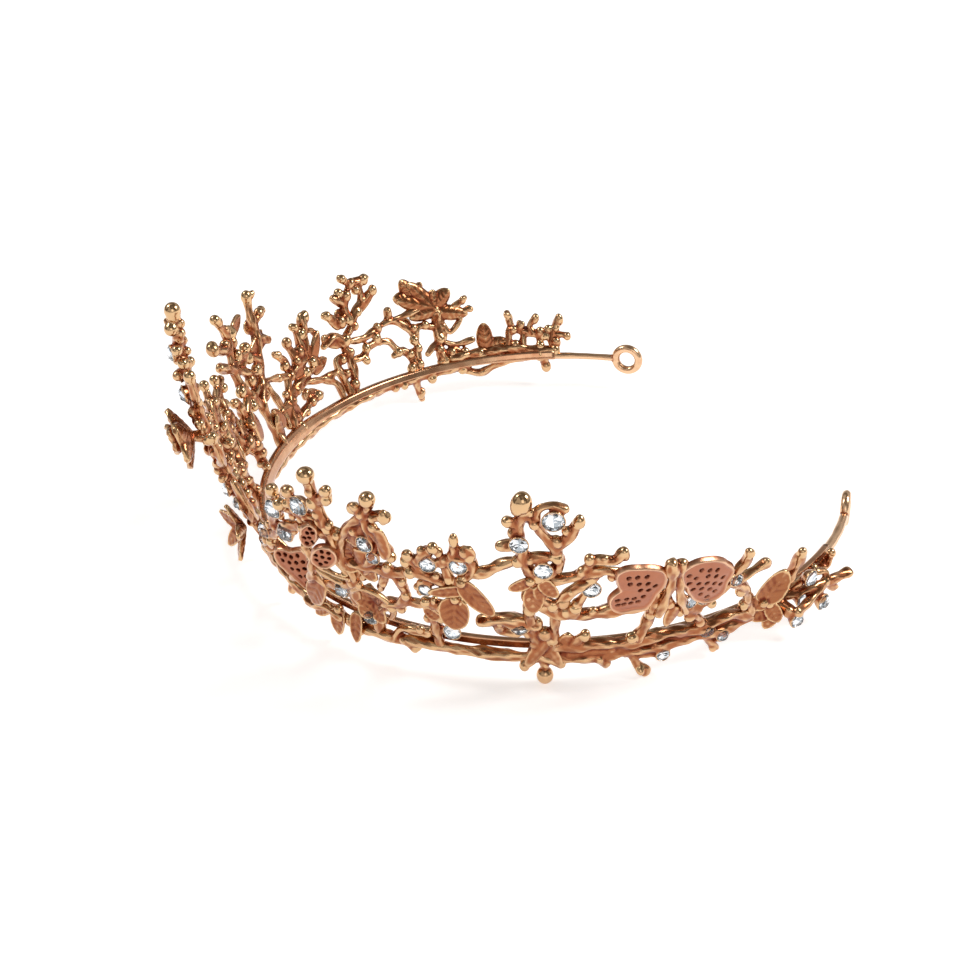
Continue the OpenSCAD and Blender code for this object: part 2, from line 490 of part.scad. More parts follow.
// ---- Butterflies ----
// A wing plate from its outline, with rows of pierced holes inside
module wing(outline, holes)
  linear_extrude(plate_t, center = true)
    difference() {
      polygon(outline);
      for (h = holes) translate(h) circle(pierce_r, $fn = 16);
    }

module butterfly_front_wings()
  color(copper) {
    face_out([22.8, 27.7], 2.6, 12, 0, 24)
      wing(
        [[0.5, 3.9], [1.9, 2.9], [2.2, 0.6], [1.2, -1.9], [-0.4, -3.8], [-1.9, -3.6],
         [-2.6, -1.8], [-2.3, 0.7], [-0.9, 3.1]],
        [[-0.4, 0.9], [0.8, 1], [-1.3, -0.7], [-0.1, -0.5], [0.4, 2.1], [-1, -2.3], [0.5, -1.7]]);
    face_out([24.6, 22.4], 3, 12, 0, 24)
      wing(
        [[-2.6, 1.9], [-0.5, 3.5], [1.7, 3.4], [3, 1.9], [3.2, -0.4], [1.9, -2.4], [-0.3, -3.6],
         [-2.2, -3.2], [-3.5, -1.9], [-3.4, 0.2]],
        [[-1.9, 0.6], [-0.4, 1.8], [1.1, 1.5], [-2, -0.9], [-0.4, 0.3], [1.1, 0], [-1.2, -2],
         [0.2, -1.3]]);
  }

module butterfly_front_large_wing()
  color(copper)
    face_out([11.6, 9.5], 2.4, 8, 0, 30)
      wing(
        [[-3.9, 3.4], [-3.2, 5.2], [-1, 5.7], [1, 5.3], [3, 6.1], [4.9, 6.3], [5.4, 4], [5.6, 0],
         [5.6, -4], [5.2, -7], [4, -6.6], [2, -4.8], [0, -2.8], [-2, -0.8], [-3.6, 1.4]],
        [[-2.2, 3.6], [-0.6, 3.8], [0.9, 3.4], [2.6, 4.1], [-1.5, 2], [0.3, 1.8], [2.1, 2.1],
         [3.8, 2.5], [0.7, 0], [2.3, 0], [3.9, 0.5], [2.5, -2], [4, -1.8], [3.9, -4]]);

module butterfly_front_body()
  color(copper) {
    twig([[19.9, 22], [20.2, 18.6], [17, 10], [12.4, 0.4]], 1.2, 0.9, 2.4);
    twig([[18.9, 19.8], [22, 16.4], [26.7, 15.8]], 0.8, 0.7, 2.2);
    twig([[18.6, 16.5], [21, 13.5], [24.6, 13]], 0.8, 0.7, 2);
    twig([[17.6, 12.4], [19, 8.2], [21.9, 6.6]], 0.9, 0.7, 1.8);
    twig([[10.5, -2.4], [14.9, -1.8], [19.4, -2.6]], 1.3, 1.2, 1.8);
  }

module butterfly_right_wing_a()
  color(copper)
    face_out([72.6, 20.4], 2, 20)
      wing(
        [[-6.2, 7.7], [-4.3, 8.7], [-1, 8.3], [2.3, 7.6], [4.4, 6.5], [5.6, 3.5], [5.1, 0.1],
         [3.8, -2.1], [3, -4.8], [1.9, -7], [-1.3, -6.9], [-4.4, -7.2], [-6.4, -5.6],
         [-7.2, -1.8], [-6.2, 0.2], [-5, 1.3], [-5.9, 4.2]],
        [[-3.3, 5.2], [-1.4, 5.1], [0.7, 4.9], [-2.9, 3.3], [-0.9, 2.9], [1.1, 2.6], [-0.4, 0.8],
         [1.5, 0.3], [2.9, 1.3], [-1.5, -2], [0.5, -1.7], [-5.1, -2.2], [-3.6, -3.7],
         [-2.1, -3.6], [-0.5, -3.4], [-3.2, -1.9], [-4.8, -4]]);

module butterfly_right_wing_b()
  color(copper)
    face_out([83.4, 18.4], 2, 20)
      wing(
        [[-8.4, 7.2], [-6.7, 8.6], [-4.7, 9.3], [-2, 9], [1.1, 7.9], [3.5, 5.7], [5.6, 3.1],
         [5.6, 1.1], [4.8, -1.2], [4.7, -3.5], [4.4, -5.5], [2.8, -7], [0.3, -7.2], [-2.1, -5.8],
         [-4.5, -2.8], [-6.1, 0.6], [-7.7, 3.9]],
        [[-4.2, 3.6], [-1.3, 3.4], [0.8, 2.6], [-5.4, 2], [-3.1, 1.4], [-4, -0.5], [-2, -0.7],
         [-1.1, 1], [1.7, -3], [0.2, -4.6], [-1.8, -2.9], [0.8, 4.6], [-1.2, 5.2], [-3.3, 5.9],
         [0.9, 0.2], [2.8, 1.4], [0.1, -1.6], [2.7, -0.9], [-6, 4.8]]);

module butterfly_right_body()
  color(copper) {
    twig([[76.6, 27], [77, 22], [76.6, 16], [76, 11]], 1.4, 1, 2.6);
    twig([[78.2, 26.4], [78.4, 21], [79, 16], [80.6, 10]], 1.2, 0.9, 2.4);
  }

// ---- Flowers and leaves ----
module flower_side()
  color(copper) flower([-10, 32.4], 5, 8, 5.6, 13, 38, 4.6);

module flower_side_centre()
  color(gold) {
    bead([-10, 32.4], 1.7, 6.6);
    twig([[-10, 30.4, 0.5], [-10, 31.6, 3], [-10, 32.4, 5.6]], 1.3, 1.2);
  }

module flower_star()
  color(copper) flower([-4, 9.4], 5, 8, 3.8, 4, 26, 3.6);

module flower_dark()
  color(copper) flower([29.6, 23.4], 4, 6, 4.4, 10, 20, -0.2);

module flower_ring_low()
  color(copper) flower([29.2, 8.4], 5, 6.4, 4.8, 4, 24, 0.4);

module flower_right_tall()
  color(copper)
    face_out([57.4, 24.6], 1.6, 14) {
      translate([0, 0, -0.7]) cylinder(1.7, 1.5, 1.5, $fn = 32);
      for (p = [[112, 6], [176, 10], [208, 10], [246, 6]])
        rotate([0, 0, p[0]]) rotate([14, 0, 0])
          linear_extrude(plate_t, center = true) translate([0, 1]) leaf_outline(p[1] - 1, 3);
    }

module flower_pendant()
  color(copper) {
    bead([58.2, -6.8], 1.9, 1.4);
    bead([54.8, -4.4], 1.3, 1.4);
    bead([61, -3.6], 1.1, 1.4);
    for (u = [54.8, 58.2, 61]) twig([[57.6, -1.4], [u, -4]], 1, 1, 1.4);
  }

module flower_left()
  color(copper) flower([-95.8, 16.4], 5, 9, 4.8, 16, 20, -0.7);

module flower_left_upper()
  color(copper) flower([-91.9, 20.2], 4, 5.8, 4, 18, 20, 0.2);

module leaf_right_large()
  color(copper) {
    leaf([46.7, 22.9], 10.7, 5, 218, 10, 1.6);
    leaf([47.1, 20.7], 8.7, 3, 102, 10, 1.4);
  }

module leaf_right_low()
  color(copper) {
    leaf([45.3, 17.4], 8.8, 7, 174, 8, 1.8);
    leaf([41.8, 9.3], 4.6, 3, 49, 8, 1.6);
  }

module leaf_right_end()
  color(copper) leaf([96.9, 3.2], 10.3, 6.4, -28, 6, 2, -30);

module flower_right_end()
  color(copper) flower([99.4, 1.2], 4, 6.2, 4.2, 0, 12, 2.8, -30);

module leaf_pair_left()
  color(copper) {
    leaf([-105.9, 2.7], 8.2, 5, -4, 10, 0.3);
    leaf([-106.3, 3.7], 6, 3.8, 80, 10, 0.5);
  }

module leaf_left_grid()
  color(copper) {
    leaf([-30, 14], 9, 6.4, -10, 14, 0.4, 20);
    leaf([-26, 22], 8, 6.4, -6, 14, 0.2, 24);
    leaf([-35, 8], 8, 6, 20, 14, 0.4, 20);
    leaf([-48, 2], 8, 5, -12, 8, 0.4, 20);
  }

module petals_front_low()
  color(copper) {
    leaf([19.1, -0.3], 7.4, 4.6, 174, 0, 1.4);
    leaf([24.1, 1.7], 8.4, 3.6, 175, 0, 1.4);
    leaf([15.1, -0.3], 8, 3.6, 120, 0, 1.6);
  }

// ---- The parts ----
for (name = SPRAYS) casting(name);
for (name = STONE_SETS) stone_set(name);
headband_strip();
eyelet_left();
eyelet_right();
butterfly_front_wings();
butterfly_front_large_wing();
butterfly_front_body();
butterfly_right_wing_a();
butterfly_right_wing_b();
butterfly_right_body();
flower_side();
flower_side_centre();
flower_star();
flower_dark();
flower_ring_low();
flower_right_tall();
flower_pendant();
flower_left();
flower_left_upper();
leaf_right_large();
leaf_right_low();
leaf_right_end();
flower_right_end();
leaf_pair_left();
leaf_left_grid();
petals_front_low();
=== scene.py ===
import math

import bpy
import numpy as np
from mathutils import Matrix, Vector


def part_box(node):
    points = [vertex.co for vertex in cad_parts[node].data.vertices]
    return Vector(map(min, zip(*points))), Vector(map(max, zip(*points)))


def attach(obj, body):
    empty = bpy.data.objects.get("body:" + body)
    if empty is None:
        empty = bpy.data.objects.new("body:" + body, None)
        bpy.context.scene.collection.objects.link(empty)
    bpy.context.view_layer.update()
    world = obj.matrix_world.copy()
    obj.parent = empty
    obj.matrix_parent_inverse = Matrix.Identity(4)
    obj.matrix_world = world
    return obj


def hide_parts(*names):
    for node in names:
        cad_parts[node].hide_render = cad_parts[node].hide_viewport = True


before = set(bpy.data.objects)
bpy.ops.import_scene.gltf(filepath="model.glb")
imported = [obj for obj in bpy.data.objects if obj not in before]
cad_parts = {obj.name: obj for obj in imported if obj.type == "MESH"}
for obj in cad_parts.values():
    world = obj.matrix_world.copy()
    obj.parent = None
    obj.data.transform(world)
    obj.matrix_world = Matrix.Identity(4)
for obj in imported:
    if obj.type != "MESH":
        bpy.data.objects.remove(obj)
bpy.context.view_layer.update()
mm = 0.001
rng = np.random.default_rng(7)

# The headband's own box gives the circle's centre and its height, so every place follows the frame.
bandLow, bandHigh = (np.array(c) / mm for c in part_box("headband_strip"))
head = dict(
    radius=75.0,                                   # headband middle line
    centreX=(bandLow[0] + bandHigh[0]) / 2,
    centreY=bandLow[1] + 75.0,                     # the strip's outside reaches one radius in front
    lift=(bandLow[2] + bandHigh[2]) / 2 - 0.6,     # the strip sits 0.6 mm above the circle's plane
    flare=0.48,                                    # outward lean, mm per mm of height
    curl=0.0035,                                   # how fast the lean turns upright again
    endAngle=121.0,
    ringAngle=137.4,
)


# Place on the bowl: radius grows with height as flare*z - curl*z*z, then out mm proud of that.
def place(u, z, out=0.0):
    u = np.radians(np.asarray(u, float))
    z = np.asarray(z, float) + 0 * u
    r = head["radius"] + np.where(z > 0, head["flare"] * z - head["curl"] * z * z, 0) + out
    return np.stack([r * np.sin(u) + head["centreX"], head["centreY"] - r * np.cos(u), z + head["lift"]], -1)


# A frame to draw a flat piece in: x along the band, y up the bowl, n outward, turned by spin about n.
def facing(u, z, out=0.0, lean=0.0, spin=0.0, yaw=0.0):
    a, t, s = math.radians(u + yaw), math.radians(lean), math.radians(spin)
    along = np.array([math.cos(a), math.sin(a), 0])
    radial = np.array([math.sin(a), -math.cos(a), 0])
    up = math.cos(t) * np.array([0, 0, 1.0]) + math.sin(t) * radial
    normal = np.cross(along, up)
    x = math.cos(s) * along + math.sin(s) * up
    y = math.cos(s) * up - math.sin(s) * along
    return place(u, z, out), x, y, normal


# Faces of a rows x cols grid of points, closed round the columns, with a pole at each end.
def closedGrid(points):
    rows, cols = points.shape[:2]
    first, last = points[0].mean(0), points[-1].mean(0)
    verts = np.vstack([points.reshape(-1, 3), first, last])
    i, j = np.meshgrid(np.arange(rows - 1), np.arange(cols), indexing="ij")
    k = (j + 1) % cols
    quads = np.stack([i * cols + j, i * cols + k, (i + 1) * cols + k, (i + 1) * cols + j], -1).reshape(-1, 4)
    ring = np.arange(cols)
    nxt = (ring + 1) % cols
    poleA, poleB = rows * cols, rows * cols + 1
    top = (rows - 1) * cols
    fans = np.vstack([np.stack([0 * ring + poleA, nxt, ring], -1),
                      np.stack([0 * ring + poleB, top + ring, top + nxt], -1)])
    return verts, quads, fans


# Catmull-Rom curve through the control points, resampled at an even step.
def smoothPath(pts, step=0.35):
    p = np.asarray(pts, float)
    if len(p) == 2:
        n = max(2, int(np.linalg.norm(p[1] - p[0]) / step))
        return p[0] + (p[1] - p[0]) * np.linspace(0, 1, n + 1)[:, None]
    ends = np.vstack([2 * p[0] - p[1], p, 2 * p[-1] - p[-2]])
    out = []
    for a, b, c, d in zip(ends[:-3], ends[1:-2], ends[2:-1], ends[3:]):
        n = max(2, int(np.linalg.norm(c - b) / step))
        t = np.linspace(0, 1, n, endpoint=False)[:, None]
        out.append(0.5 * (2 * b + (c - a) * t + (2 * a - 5 * b + 4 * c - d) * t ** 2
                          + (3 * b - a - 3 * c + d) * t ** 3))
    return np.vstack(out + [p[-1:]])


bark = dict(
    knuckle=0.2, ridge=0.1,            # shares of the radius that knuckles and lengthwise ridges add
    knuckleWaves=(1.35, 3.1),          # mm per radian of the two waves that space the knuckles
    ridgeCounts=(3, 5),                # ridges round the twig, in two sets
    twists=(2.3, 1.7), breaks=0.9,     # mm per radian of their twist and of the breaks along them
    capAngles=(90, 66, 44, 24),        # rings of the half ball at each end
)


# Twig: a circle carried along a path. Radius runs r0 to r1, swells at knuckles, and the skin has
# shallow lengthwise ridges; both ends close as half balls.
def twig(pts, r0, r1, knuckle=bark["knuckle"], ridge=bark["ridge"], sides=14):
    path = smoothPath(pts)
    tangent = np.gradient(path, axis=0)
    tangent /= np.linalg.norm(tangent, axis=1)[:, None]
    length = np.r_[0, np.cumsum(np.linalg.norm(np.diff(path, axis=0), axis=1))]
    s = length / length[-1]
    phase = rng.uniform(0, 6.28, 6)
    near, far = (np.sin(length / wave + phase[k]) for k, wave in enumerate(bark["knuckleWaves"]))
    r = (r0 + (r1 - r0) * s) * (1 + knuckle * near * far)
    cap = np.radians(bark["capAngles"])
    rows = np.concatenate([path[:1] - tangent[:1] * (r[0] * np.sin(cap))[:, None], path,
                           path[-1:] + tangent[-1:] * (r[-1] * np.sin(cap[::-1]))[:, None]])
    rad = np.concatenate([r[0] * np.cos(cap), r, r[-1] * np.cos(cap[::-1])])
    dirs = np.concatenate([np.repeat(tangent[:1], 4, 0), tangent, np.repeat(tangent[-1:], 4, 0)])
    run = np.concatenate([np.zeros(4), length, np.full(4, length[-1])])[:, None]
    outward = rows - np.array([head["centreX"], head["centreY"], 0])
    outward[:, 2] = 0
    side = np.cross(dirs, outward / np.linalg.norm(outward, axis=1)[:, None])
    weak = np.linalg.norm(side, axis=1) < 0.35
    side[weak] = np.cross(dirs[weak], [0, 0, 1.0])
    side /= np.linalg.norm(side, axis=1)[:, None]
    other = np.cross(side, dirs)
    a = np.linspace(0, 2 * np.pi, sides, endpoint=False)[None, :]
    coarse = np.sin(bark["ridgeCounts"][0] * a + phase[2] + run / bark["twists"][0])
    finer = np.sin(bark["ridgeCounts"][1] * a + phase[3] - run / bark["twists"][1])
    skin = 1 + ridge * coarse + ridge * 0.8 * finer * np.sin(run / bark["breaks"] + phase[4])
    ring = rad[:, None, None] * skin[..., None] * (
        np.cos(a)[..., None] * side[:, None, :] - np.sin(a)[..., None] * other[:, None, :])
    return closedGrid(rows[:, None, :] + ring)


# Ball or egg: rings of an ellipsoid, radius r across and r*tall along the axis.
def ball(centre, r, axis=(0, 0, 1), tall=1.0, rings=14, sides=18):
    axis = np.asarray(axis, float) / np.linalg.norm(axis)
    side = np.cross(axis, [1.0, 0.1, 0.2])
    side /= np.linalg.norm(side)
    other = np.cross(axis, side)
    b = np.linspace(-np.pi / 2, np.pi / 2, rings + 2)[1:-1, None]
    a = np.linspace(0, 2 * np.pi, sides, endpoint=False)[None, :]
    pts = (np.asarray(centre, float) + r * (np.cos(b) * np.cos(a))[..., None] * side
           + r * (np.cos(b) * np.sin(a))[..., None] * other
           + (r * tall * np.sin(b) + 0 * a)[..., None] * axis)
    return closedGrid(pts)


# Cup: a small bowl turned round the outward axis; the wall goes up outside, over the lip, down inside.
def cup(spot, diameter):
    origin, x, y, n = spot
    r = diameter / 2
    prof = np.array([[0.25 * r, -0.7 * r - 0.7], [0.7 * r, -0.5 * r - 0.7], [r + 0.05, -0.6],
                     [r + 0.3, -0.05], [r + 0.3, 0.15], [r + 0.12, 0.28], [r - 0.02, 0.12], [r - 0.06, -0.2],
                     [0.55 * r, -0.36 * r - 0.25], [0.12 * r, -0.6 * r - 0.25]])
    a = np.linspace(0, 2 * np.pi, 26, endpoint=False)[None, :]
    pts = (origin + (prof[:, :1] * np.cos(a))[..., None] * x + (prof[:, :1] * np.sin(a))[..., None] * y
           + (prof[:, 1:] + 0 * a)[..., None] * n)
    verts, quads, fans = closedGrid(pts)
    return verts, quads, fans


# Petal or leaf: a flattened ring carried from root to tip. Half width is
# width/2 * sqrt(1 - |2*s^blunt - 1|^2.3); the blade hollows by cupping, bends by bend at the tip, and a
# midrib, faint side veins and a raised lip round the edge stand proud of it.
def petal(spot, length, width, cupping=0.25, bend=0.0, blunt=0.75, thick=0.5, veins=0.06, start=0.0, lip=0.3):
    origin, x, y, n = spot
    s = np.linspace(0, 1, 30)[:, None]
    a = np.linspace(0, 2 * np.pi, 40, endpoint=False)[None, :]
    half = width / 2 * np.sqrt(1 - np.abs(2 * np.clip(s, 0.012, 0.988) ** blunt - 1) ** 2.3) + 0.2 * (1 - s)
    across = half * np.cos(a)
    edge = np.abs(np.cos(a)) ** 6
    face = thick * (0.75 + 0.25 * np.sin(np.pi * s)) * np.sin(a)
    rib = veins * (np.exp(-(across / 0.35) ** 2) + 0.55 * np.cos(9 * s * np.pi - np.abs(across) * 2.4) *
                   (1 - edge) * np.sin(np.pi * s)) * np.sign(np.sin(a))
    rim = lip * np.exp(-((half - np.abs(across)) / 0.4) ** 2) * np.sin(np.pi * s) ** 0.4
    height = cupping * across ** 2 / (width / 2) + bend * length * s ** 2 + face + rib + rim
    along = start + length * s + 0 * a
    return closedGrid(origin + across[..., None] * x + along[..., None] * y + height[..., None] * n)


# Open flower: petals turned round the middle, each raised by cupAngle, with a beaded centre.
def flower(u, z, out, lean, count, length, width, cupAngle=25, yaw=0, turn=0, button=1.2, **more):
    parts = []
    origin, x, y, n = facing(u, z, out, lean, 0, yaw)
    for k in range(count):
        a = 2 * math.pi * k / count + math.radians(turn)
        px = math.cos(a) * x + math.sin(a) * y
        py = -math.sin(a) * x + math.cos(a) * y
        c = math.radians(cupAngle)
        parts.append(petal((origin, px, math.cos(c) * py + math.sin(c) * n,
                            math.cos(c) * n - math.sin(c) * py),
                           length, width, start=0.3, **more))
    if button:
        parts.append(ball(origin + n * 0.5, button, n, 0.8))
        for k in range(5):
            a = 2 * math.pi * k / 5 + 0.4
            parts.append(ball(origin + n * 0.9 + button * 0.95 * (math.cos(a) * x + math.sin(a) * y), 0.55,
                              n, 0.9, 8, 10))
    return parts


# Joins parts into one mesh object, in metres.
def build(name, parts):
    verts, faces, base = [], [], 0
    for v, quads, fans in parts:
        verts.append(v)
        faces += (quads + base).tolist() + (fans + base).tolist()
        base += len(v)
    mesh = bpy.data.meshes.new(name)
    mesh.from_pydata((np.vstack(verts) * mm).tolist(), [], faces)
    mesh.update()
    obj = bpy.data.objects.new(name, mesh)
    bpy.context.scene.collection.objects.link(obj)
    return obj


castRoundingAndShade = dict(
    shrink=0.6, swell=-0.45,           # share of the way to the neighbours' middle, in and back out
    spread=6, keep=0.4,                # rounds that spread the painted shade level, and what each keeps
    flat=0.47, depth=0.24,             # painted shade level on a flat, and per standard deviation
)


# Casts the parts of one piece together: voxels fuse them, then each point moves part of the way to
# its neighbours' middle, which rounds the joints as molten metal does.
def cast(obj, voxel=0.24, passes=4):
    fuse = obj.modifiers.new("fuse", "REMESH")
    fuse.mode = "VOXEL"
    fuse.voxel_size = voxel * mm
    fuse.use_smooth_shade = True
    deps = bpy.context.evaluated_depsgraph_get()
    fused = bpy.data.meshes.new_from_object(obj.evaluated_get(deps))
    obj.modifiers.clear()
    old = obj.data
    obj.data = fused
    fused.name = obj.name
    bpy.data.meshes.remove(old)
    count = len(fused.vertices)
    v = np.empty(count * 3)
    fused.vertices.foreach_get("co", v)
    v = v.reshape(-1, 3)
    e = np.empty(len(fused.edges) * 2, int)
    fused.edges.foreach_get("vertices", e)
    e = e.reshape(-1, 2)
    degree = np.bincount(e.ravel(), minlength=count)[:, None]

    # Mean of the value f over the points joined to each point by an edge
    def neighbourMean(f):
        total = np.stack([np.bincount(e[:, 0], f[e[:, 1], k], count)
                          + np.bincount(e[:, 1], f[e[:, 0], k], count) for k in range(f.shape[1])], -1)
        return total / degree

    for share in [castRoundingAndShade["shrink"], castRoundingAndShade["swell"]] * passes:
        v = v + share * (neighbourMean(v) - v)
    fused.vertices.foreach_set("co", v.ravel())
    fused.update()
    normal = np.empty(count * 3)
    fused.vertices.foreach_get("normal", normal)
    normal = normal.reshape(-1, 3)
    # painted shade level: how far the neighbours' middle lies outside the surface, spread a little, 0.5 on a
    # flat
    paintedShadeLevel = ((neighbourMean(v) - v) * normal).sum(1)[:, None] / (voxel * mm)
    for _ in range(castRoundingAndShade["spread"]):
        paintedShadeLevel = castRoundingAndShade["keep"] * paintedShadeLevel + (1 - castRoundingAndShade["keep"]) * neighbourMean(paintedShadeLevel)
    # High levels paint shade into hollows; low levels paint a highlight on ridges.
    layer = fused.attributes.new("paintedShadeLevel", "FLOAT", "POINT")
    level = castRoundingAndShade["flat"] + castRoundingAndShade["depth"] * paintedShadeLevel[:, 0] / paintedShadeLevel.std()
    layer.data.foreach_set("value", np.clip(level, 0, 1))
    fused.polygons.foreach_set("use_smooth", np.ones(len(fused.polygons), bool))
    return v, normal


# Marks bead tips for their polish and a painted highlight: 1 inside a bead, fading to 0 just outside its
# radius.
def markBeads(obj, v, beads):
    mask = np.zeros(len(v))
    for centre, r in beads:
        gap = np.linalg.norm(v - np.asarray(centre) * mm, axis=1) / (r * mm)
        mask = np.maximum(mask, np.clip((1.22 - gap) / 0.16, 0, 1))
    obj.data.attributes.new("bead", "FLOAT", "POINT").data.foreach_set("value", mask)


# An empty node group with the given sockets.
def newGroup(name, inputs, outputs):
    g = bpy.data.node_groups.new(name, "ShaderNodeTree")
    for n, kind, value in inputs:
        s = g.interface.new_socket(n, in_out="INPUT", socket_type=kind)
        if value is not None:
            s.default_value = value
    for n, kind in outputs:
        g.interface.new_socket(n, in_out="OUTPUT", socket_type=kind)
    return g, g.nodes.new("NodeGroupInput"), g.nodes.new("NodeGroupOutput")


# A colour mix node; factor, a and b are sockets or plain values.
def mixColor(nodes, links, factor, a, b):
    m = nodes.new("ShaderNodeMix")
    m.data_type = "RGBA"
    for sock, value in (("Factor", factor), ("A", a), ("B", b)):
        target = [s for s in m.inputs if s.name == sock and s.enabled][0]
        if hasattr(value, "links"):
            links.new(value, target)
        else:
            target.default_value = value
    return [s for s in m.outputs if s.enabled][0]


# Plating with painted light: colour goes from Deep (painted shade) in hollows, to Mid, to Pale (a painted
# highlight) on ridges, blotched by a soft noise.
def makePaintedLightPlatingGroup():
    color, value = "NodeSocketColor", "NodeSocketFloat"
    g, gin, gout = newGroup("rosePlatingWithPaintedLight", [
        ("Deep", color, (0.3, 0.08, 0.03, 1)), ("Mid", color, (0.7, 0.3, 0.16, 1)),
        ("Pale", color, (0.9, 0.6, 0.4, 1)), ("Blotch", value, 0.2), ("Rough", value, 0.2),
        ("Grain", value, 220.0)], [("Color", color), ("Roughness", value), ("Height", value)])
    n, l = g.nodes, g.links
    coord = n.new("ShaderNodeTexCoord")
    paintedShadeLevel = n.new("ShaderNodeAttribute")
    paintedShadeLevel.attribute_name = "paintedShadeLevel"
    noise = n.new("ShaderNodeTexNoise")
    noise.inputs["Scale"].default_value = 260
    noise.inputs["Detail"].default_value = 3
    l.new(coord.outputs["Object"], noise.inputs["Vector"])
    shift = n.new("ShaderNodeMath")
    shift.operation = "MULTIPLY_ADD"
    centred = n.new("ShaderNodeMath")
    centred.operation = "SUBTRACT"
    centred.inputs[1].default_value = 0.5
    l.new(noise.outputs["Fac"], centred.inputs[0])
    l.new(centred.outputs[0], shift.inputs[0])
    l.new(gin.outputs["Blotch"], shift.inputs[1])
    l.new(paintedShadeLevel.outputs["Fac"], shift.inputs[2])
    # low mixes in Deep as painted shade where the level is high; high mixes in Pale as a painted highlight
    # where the level is low.
    low = n.new("ShaderNodeMapRange")
    low.inputs["From Min"].default_value = 0.48
    low.inputs["From Max"].default_value = 0.8
    high = n.new("ShaderNodeMapRange")
    high.inputs["From Min"].default_value = 0.36
    high.inputs["From Max"].default_value = 0.02
    l.new(shift.outputs[0], low.inputs["Value"])
    l.new(shift.outputs[0], high.inputs["Value"])
    c1 = mixColor(n, l, low.outputs[0], gin.outputs["Mid"], gin.outputs["Deep"])
    c2 = mixColor(n, l, high.outputs[0], c1, gin.outputs["Pale"])
    l.new(c2, gout.inputs["Color"])
    rough = n.new("ShaderNodeMath")
    rough.operation = "MULTIPLY_ADD"
    rough.inputs[1].default_value = 0.16
    l.new(low.outputs[0], rough.inputs[0])
    l.new(gin.outputs["Rough"], rough.inputs[2])
    l.new(rough.outputs[0], gout.inputs["Roughness"])
    fine = n.new("ShaderNodeTexNoise")
    fine.inputs["Detail"].default_value = 4
    l.new(coord.outputs["Object"], fine.inputs["Vector"])
    l.new(gin.outputs["Grain"], fine.inputs["Scale"])
    l.new(fine.outputs["Fac"], gout.inputs["Height"])
    return g


platingAndPaintedLight = makePaintedLightPlatingGroup()


polish = dict(coat=0.3, coatRoughness=0.12, bumpDepth=0.0002, bead=0.09, pit=0.5)


# Metal material: the plating group with its painted shade and highlight, a painted highlight tint and lower
# roughness on bead tips, and a dark tint in pits.
def metal(name, deep, mid, pale, rough=0.2, blotch=0.25, grain=900.0, bump=0.12, beadGold=None,
          pitColor=None):
    m = bpy.data.materials.new(name)
    m.use_nodes = True
    n, l = m.node_tree.nodes, m.node_tree.links
    bsdf = n["Principled BSDF"]
    bsdf.inputs["Metallic"].default_value = 1.0
    bsdf.inputs["Coat Weight"].default_value = polish["coat"]
    bsdf.inputs["Coat Roughness"].default_value = polish["coatRoughness"]
    g = n.new("ShaderNodeGroup")
    g.node_tree = platingAndPaintedLight
    for key, v in (("Deep", deep), ("Mid", mid), ("Pale", pale)):
        g.inputs[key].default_value = (*v, 1)
    g.inputs["Blotch"].default_value = blotch
    g.inputs["Rough"].default_value = rough
    g.inputs["Grain"].default_value = grain
    color, roughness = g.outputs["Color"], g.outputs["Roughness"]
    # Bead tips get a pale painted highlight colour and a lower roughness; pits get a dark tint.
    for attribute, tint in (("bead", beadGold), ("pit", pitColor)):
        if tint is None:
            continue
        mask = n.new("ShaderNodeAttribute")
        mask.attribute_name = attribute
        color = mixColor(n, l, mask.outputs["Fac"], color, (*tint, 1))
        blend = n.new("ShaderNodeMix")
        l.new(mask.outputs["Fac"], blend.inputs[0])
        l.new(roughness, blend.inputs[2])
        blend.inputs[3].default_value = polish[attribute]
        roughness = blend.outputs[0]
    l.new(color, bsdf.inputs["Base Color"])
    l.new(roughness, bsdf.inputs["Roughness"])
    b = n.new("ShaderNodeBump")
    b.inputs["Strength"].default_value = bump
    b.inputs["Distance"].default_value = polish["bumpDepth"]
    l.new(g.outputs["Height"], b.inputs["Height"])
    l.new(b.outputs["Normal"], bsdf.inputs["Normal"])
    return m


# Each metal's Deep colour is painted shade for hollows, and its Pale colour is a painted highlight for
# ridges.
castMetal = metal("castPlate", (0.20, 0.036, 0.008), (0.35, 0.118, 0.043), (0.67, 0.41, 0.215), 0.22,
                  # bead tip colour: a painted highlight
                  beadGold=(0.66, 0.42, 0.22))
# The band's plating is paler than the castings' as painted light: a lit copy of the same metal that offsets
# the shade the band falls in.
litBandMetal = metal("headbandPlateLitCopy", (0.24, 0.05, 0.012), (0.46, 0.19, 0.09), (0.78, 0.50, 0.30), 0.22,
                  blotch=0.5, bump=0.08)
wingMetal = metal("wingSatin", (0.26, 0.055, 0.02), (0.43, 0.16, 0.085), (0.76, 0.47, 0.29), 0.32, bump=0.25,
                  pitColor=(0.10, 0.012, 0.004))
petalMetal = metal("petalPlate", (0.16, 0.02, 0.003), (0.34, 0.12, 0.045), (0.68, 0.43, 0.22), 0.24,
                   blotch=0.7, bump=0.3)


# Clear crystal: plain glass with a cool tint.
def glassMaterial():
    m = bpy.data.materials.new("crystal")
    m.use_nodes = True
    b = m.node_tree.nodes["Principled BSDF"]
    b.inputs["Base Color"].default_value = (0.97, 0.98, 1.0, 1)
    b.inputs["Roughness"].default_value = 0.02
    b.inputs["IOR"].default_value = 1.55
    b.inputs["Transmission Weight"].default_value = 1.0
    return m
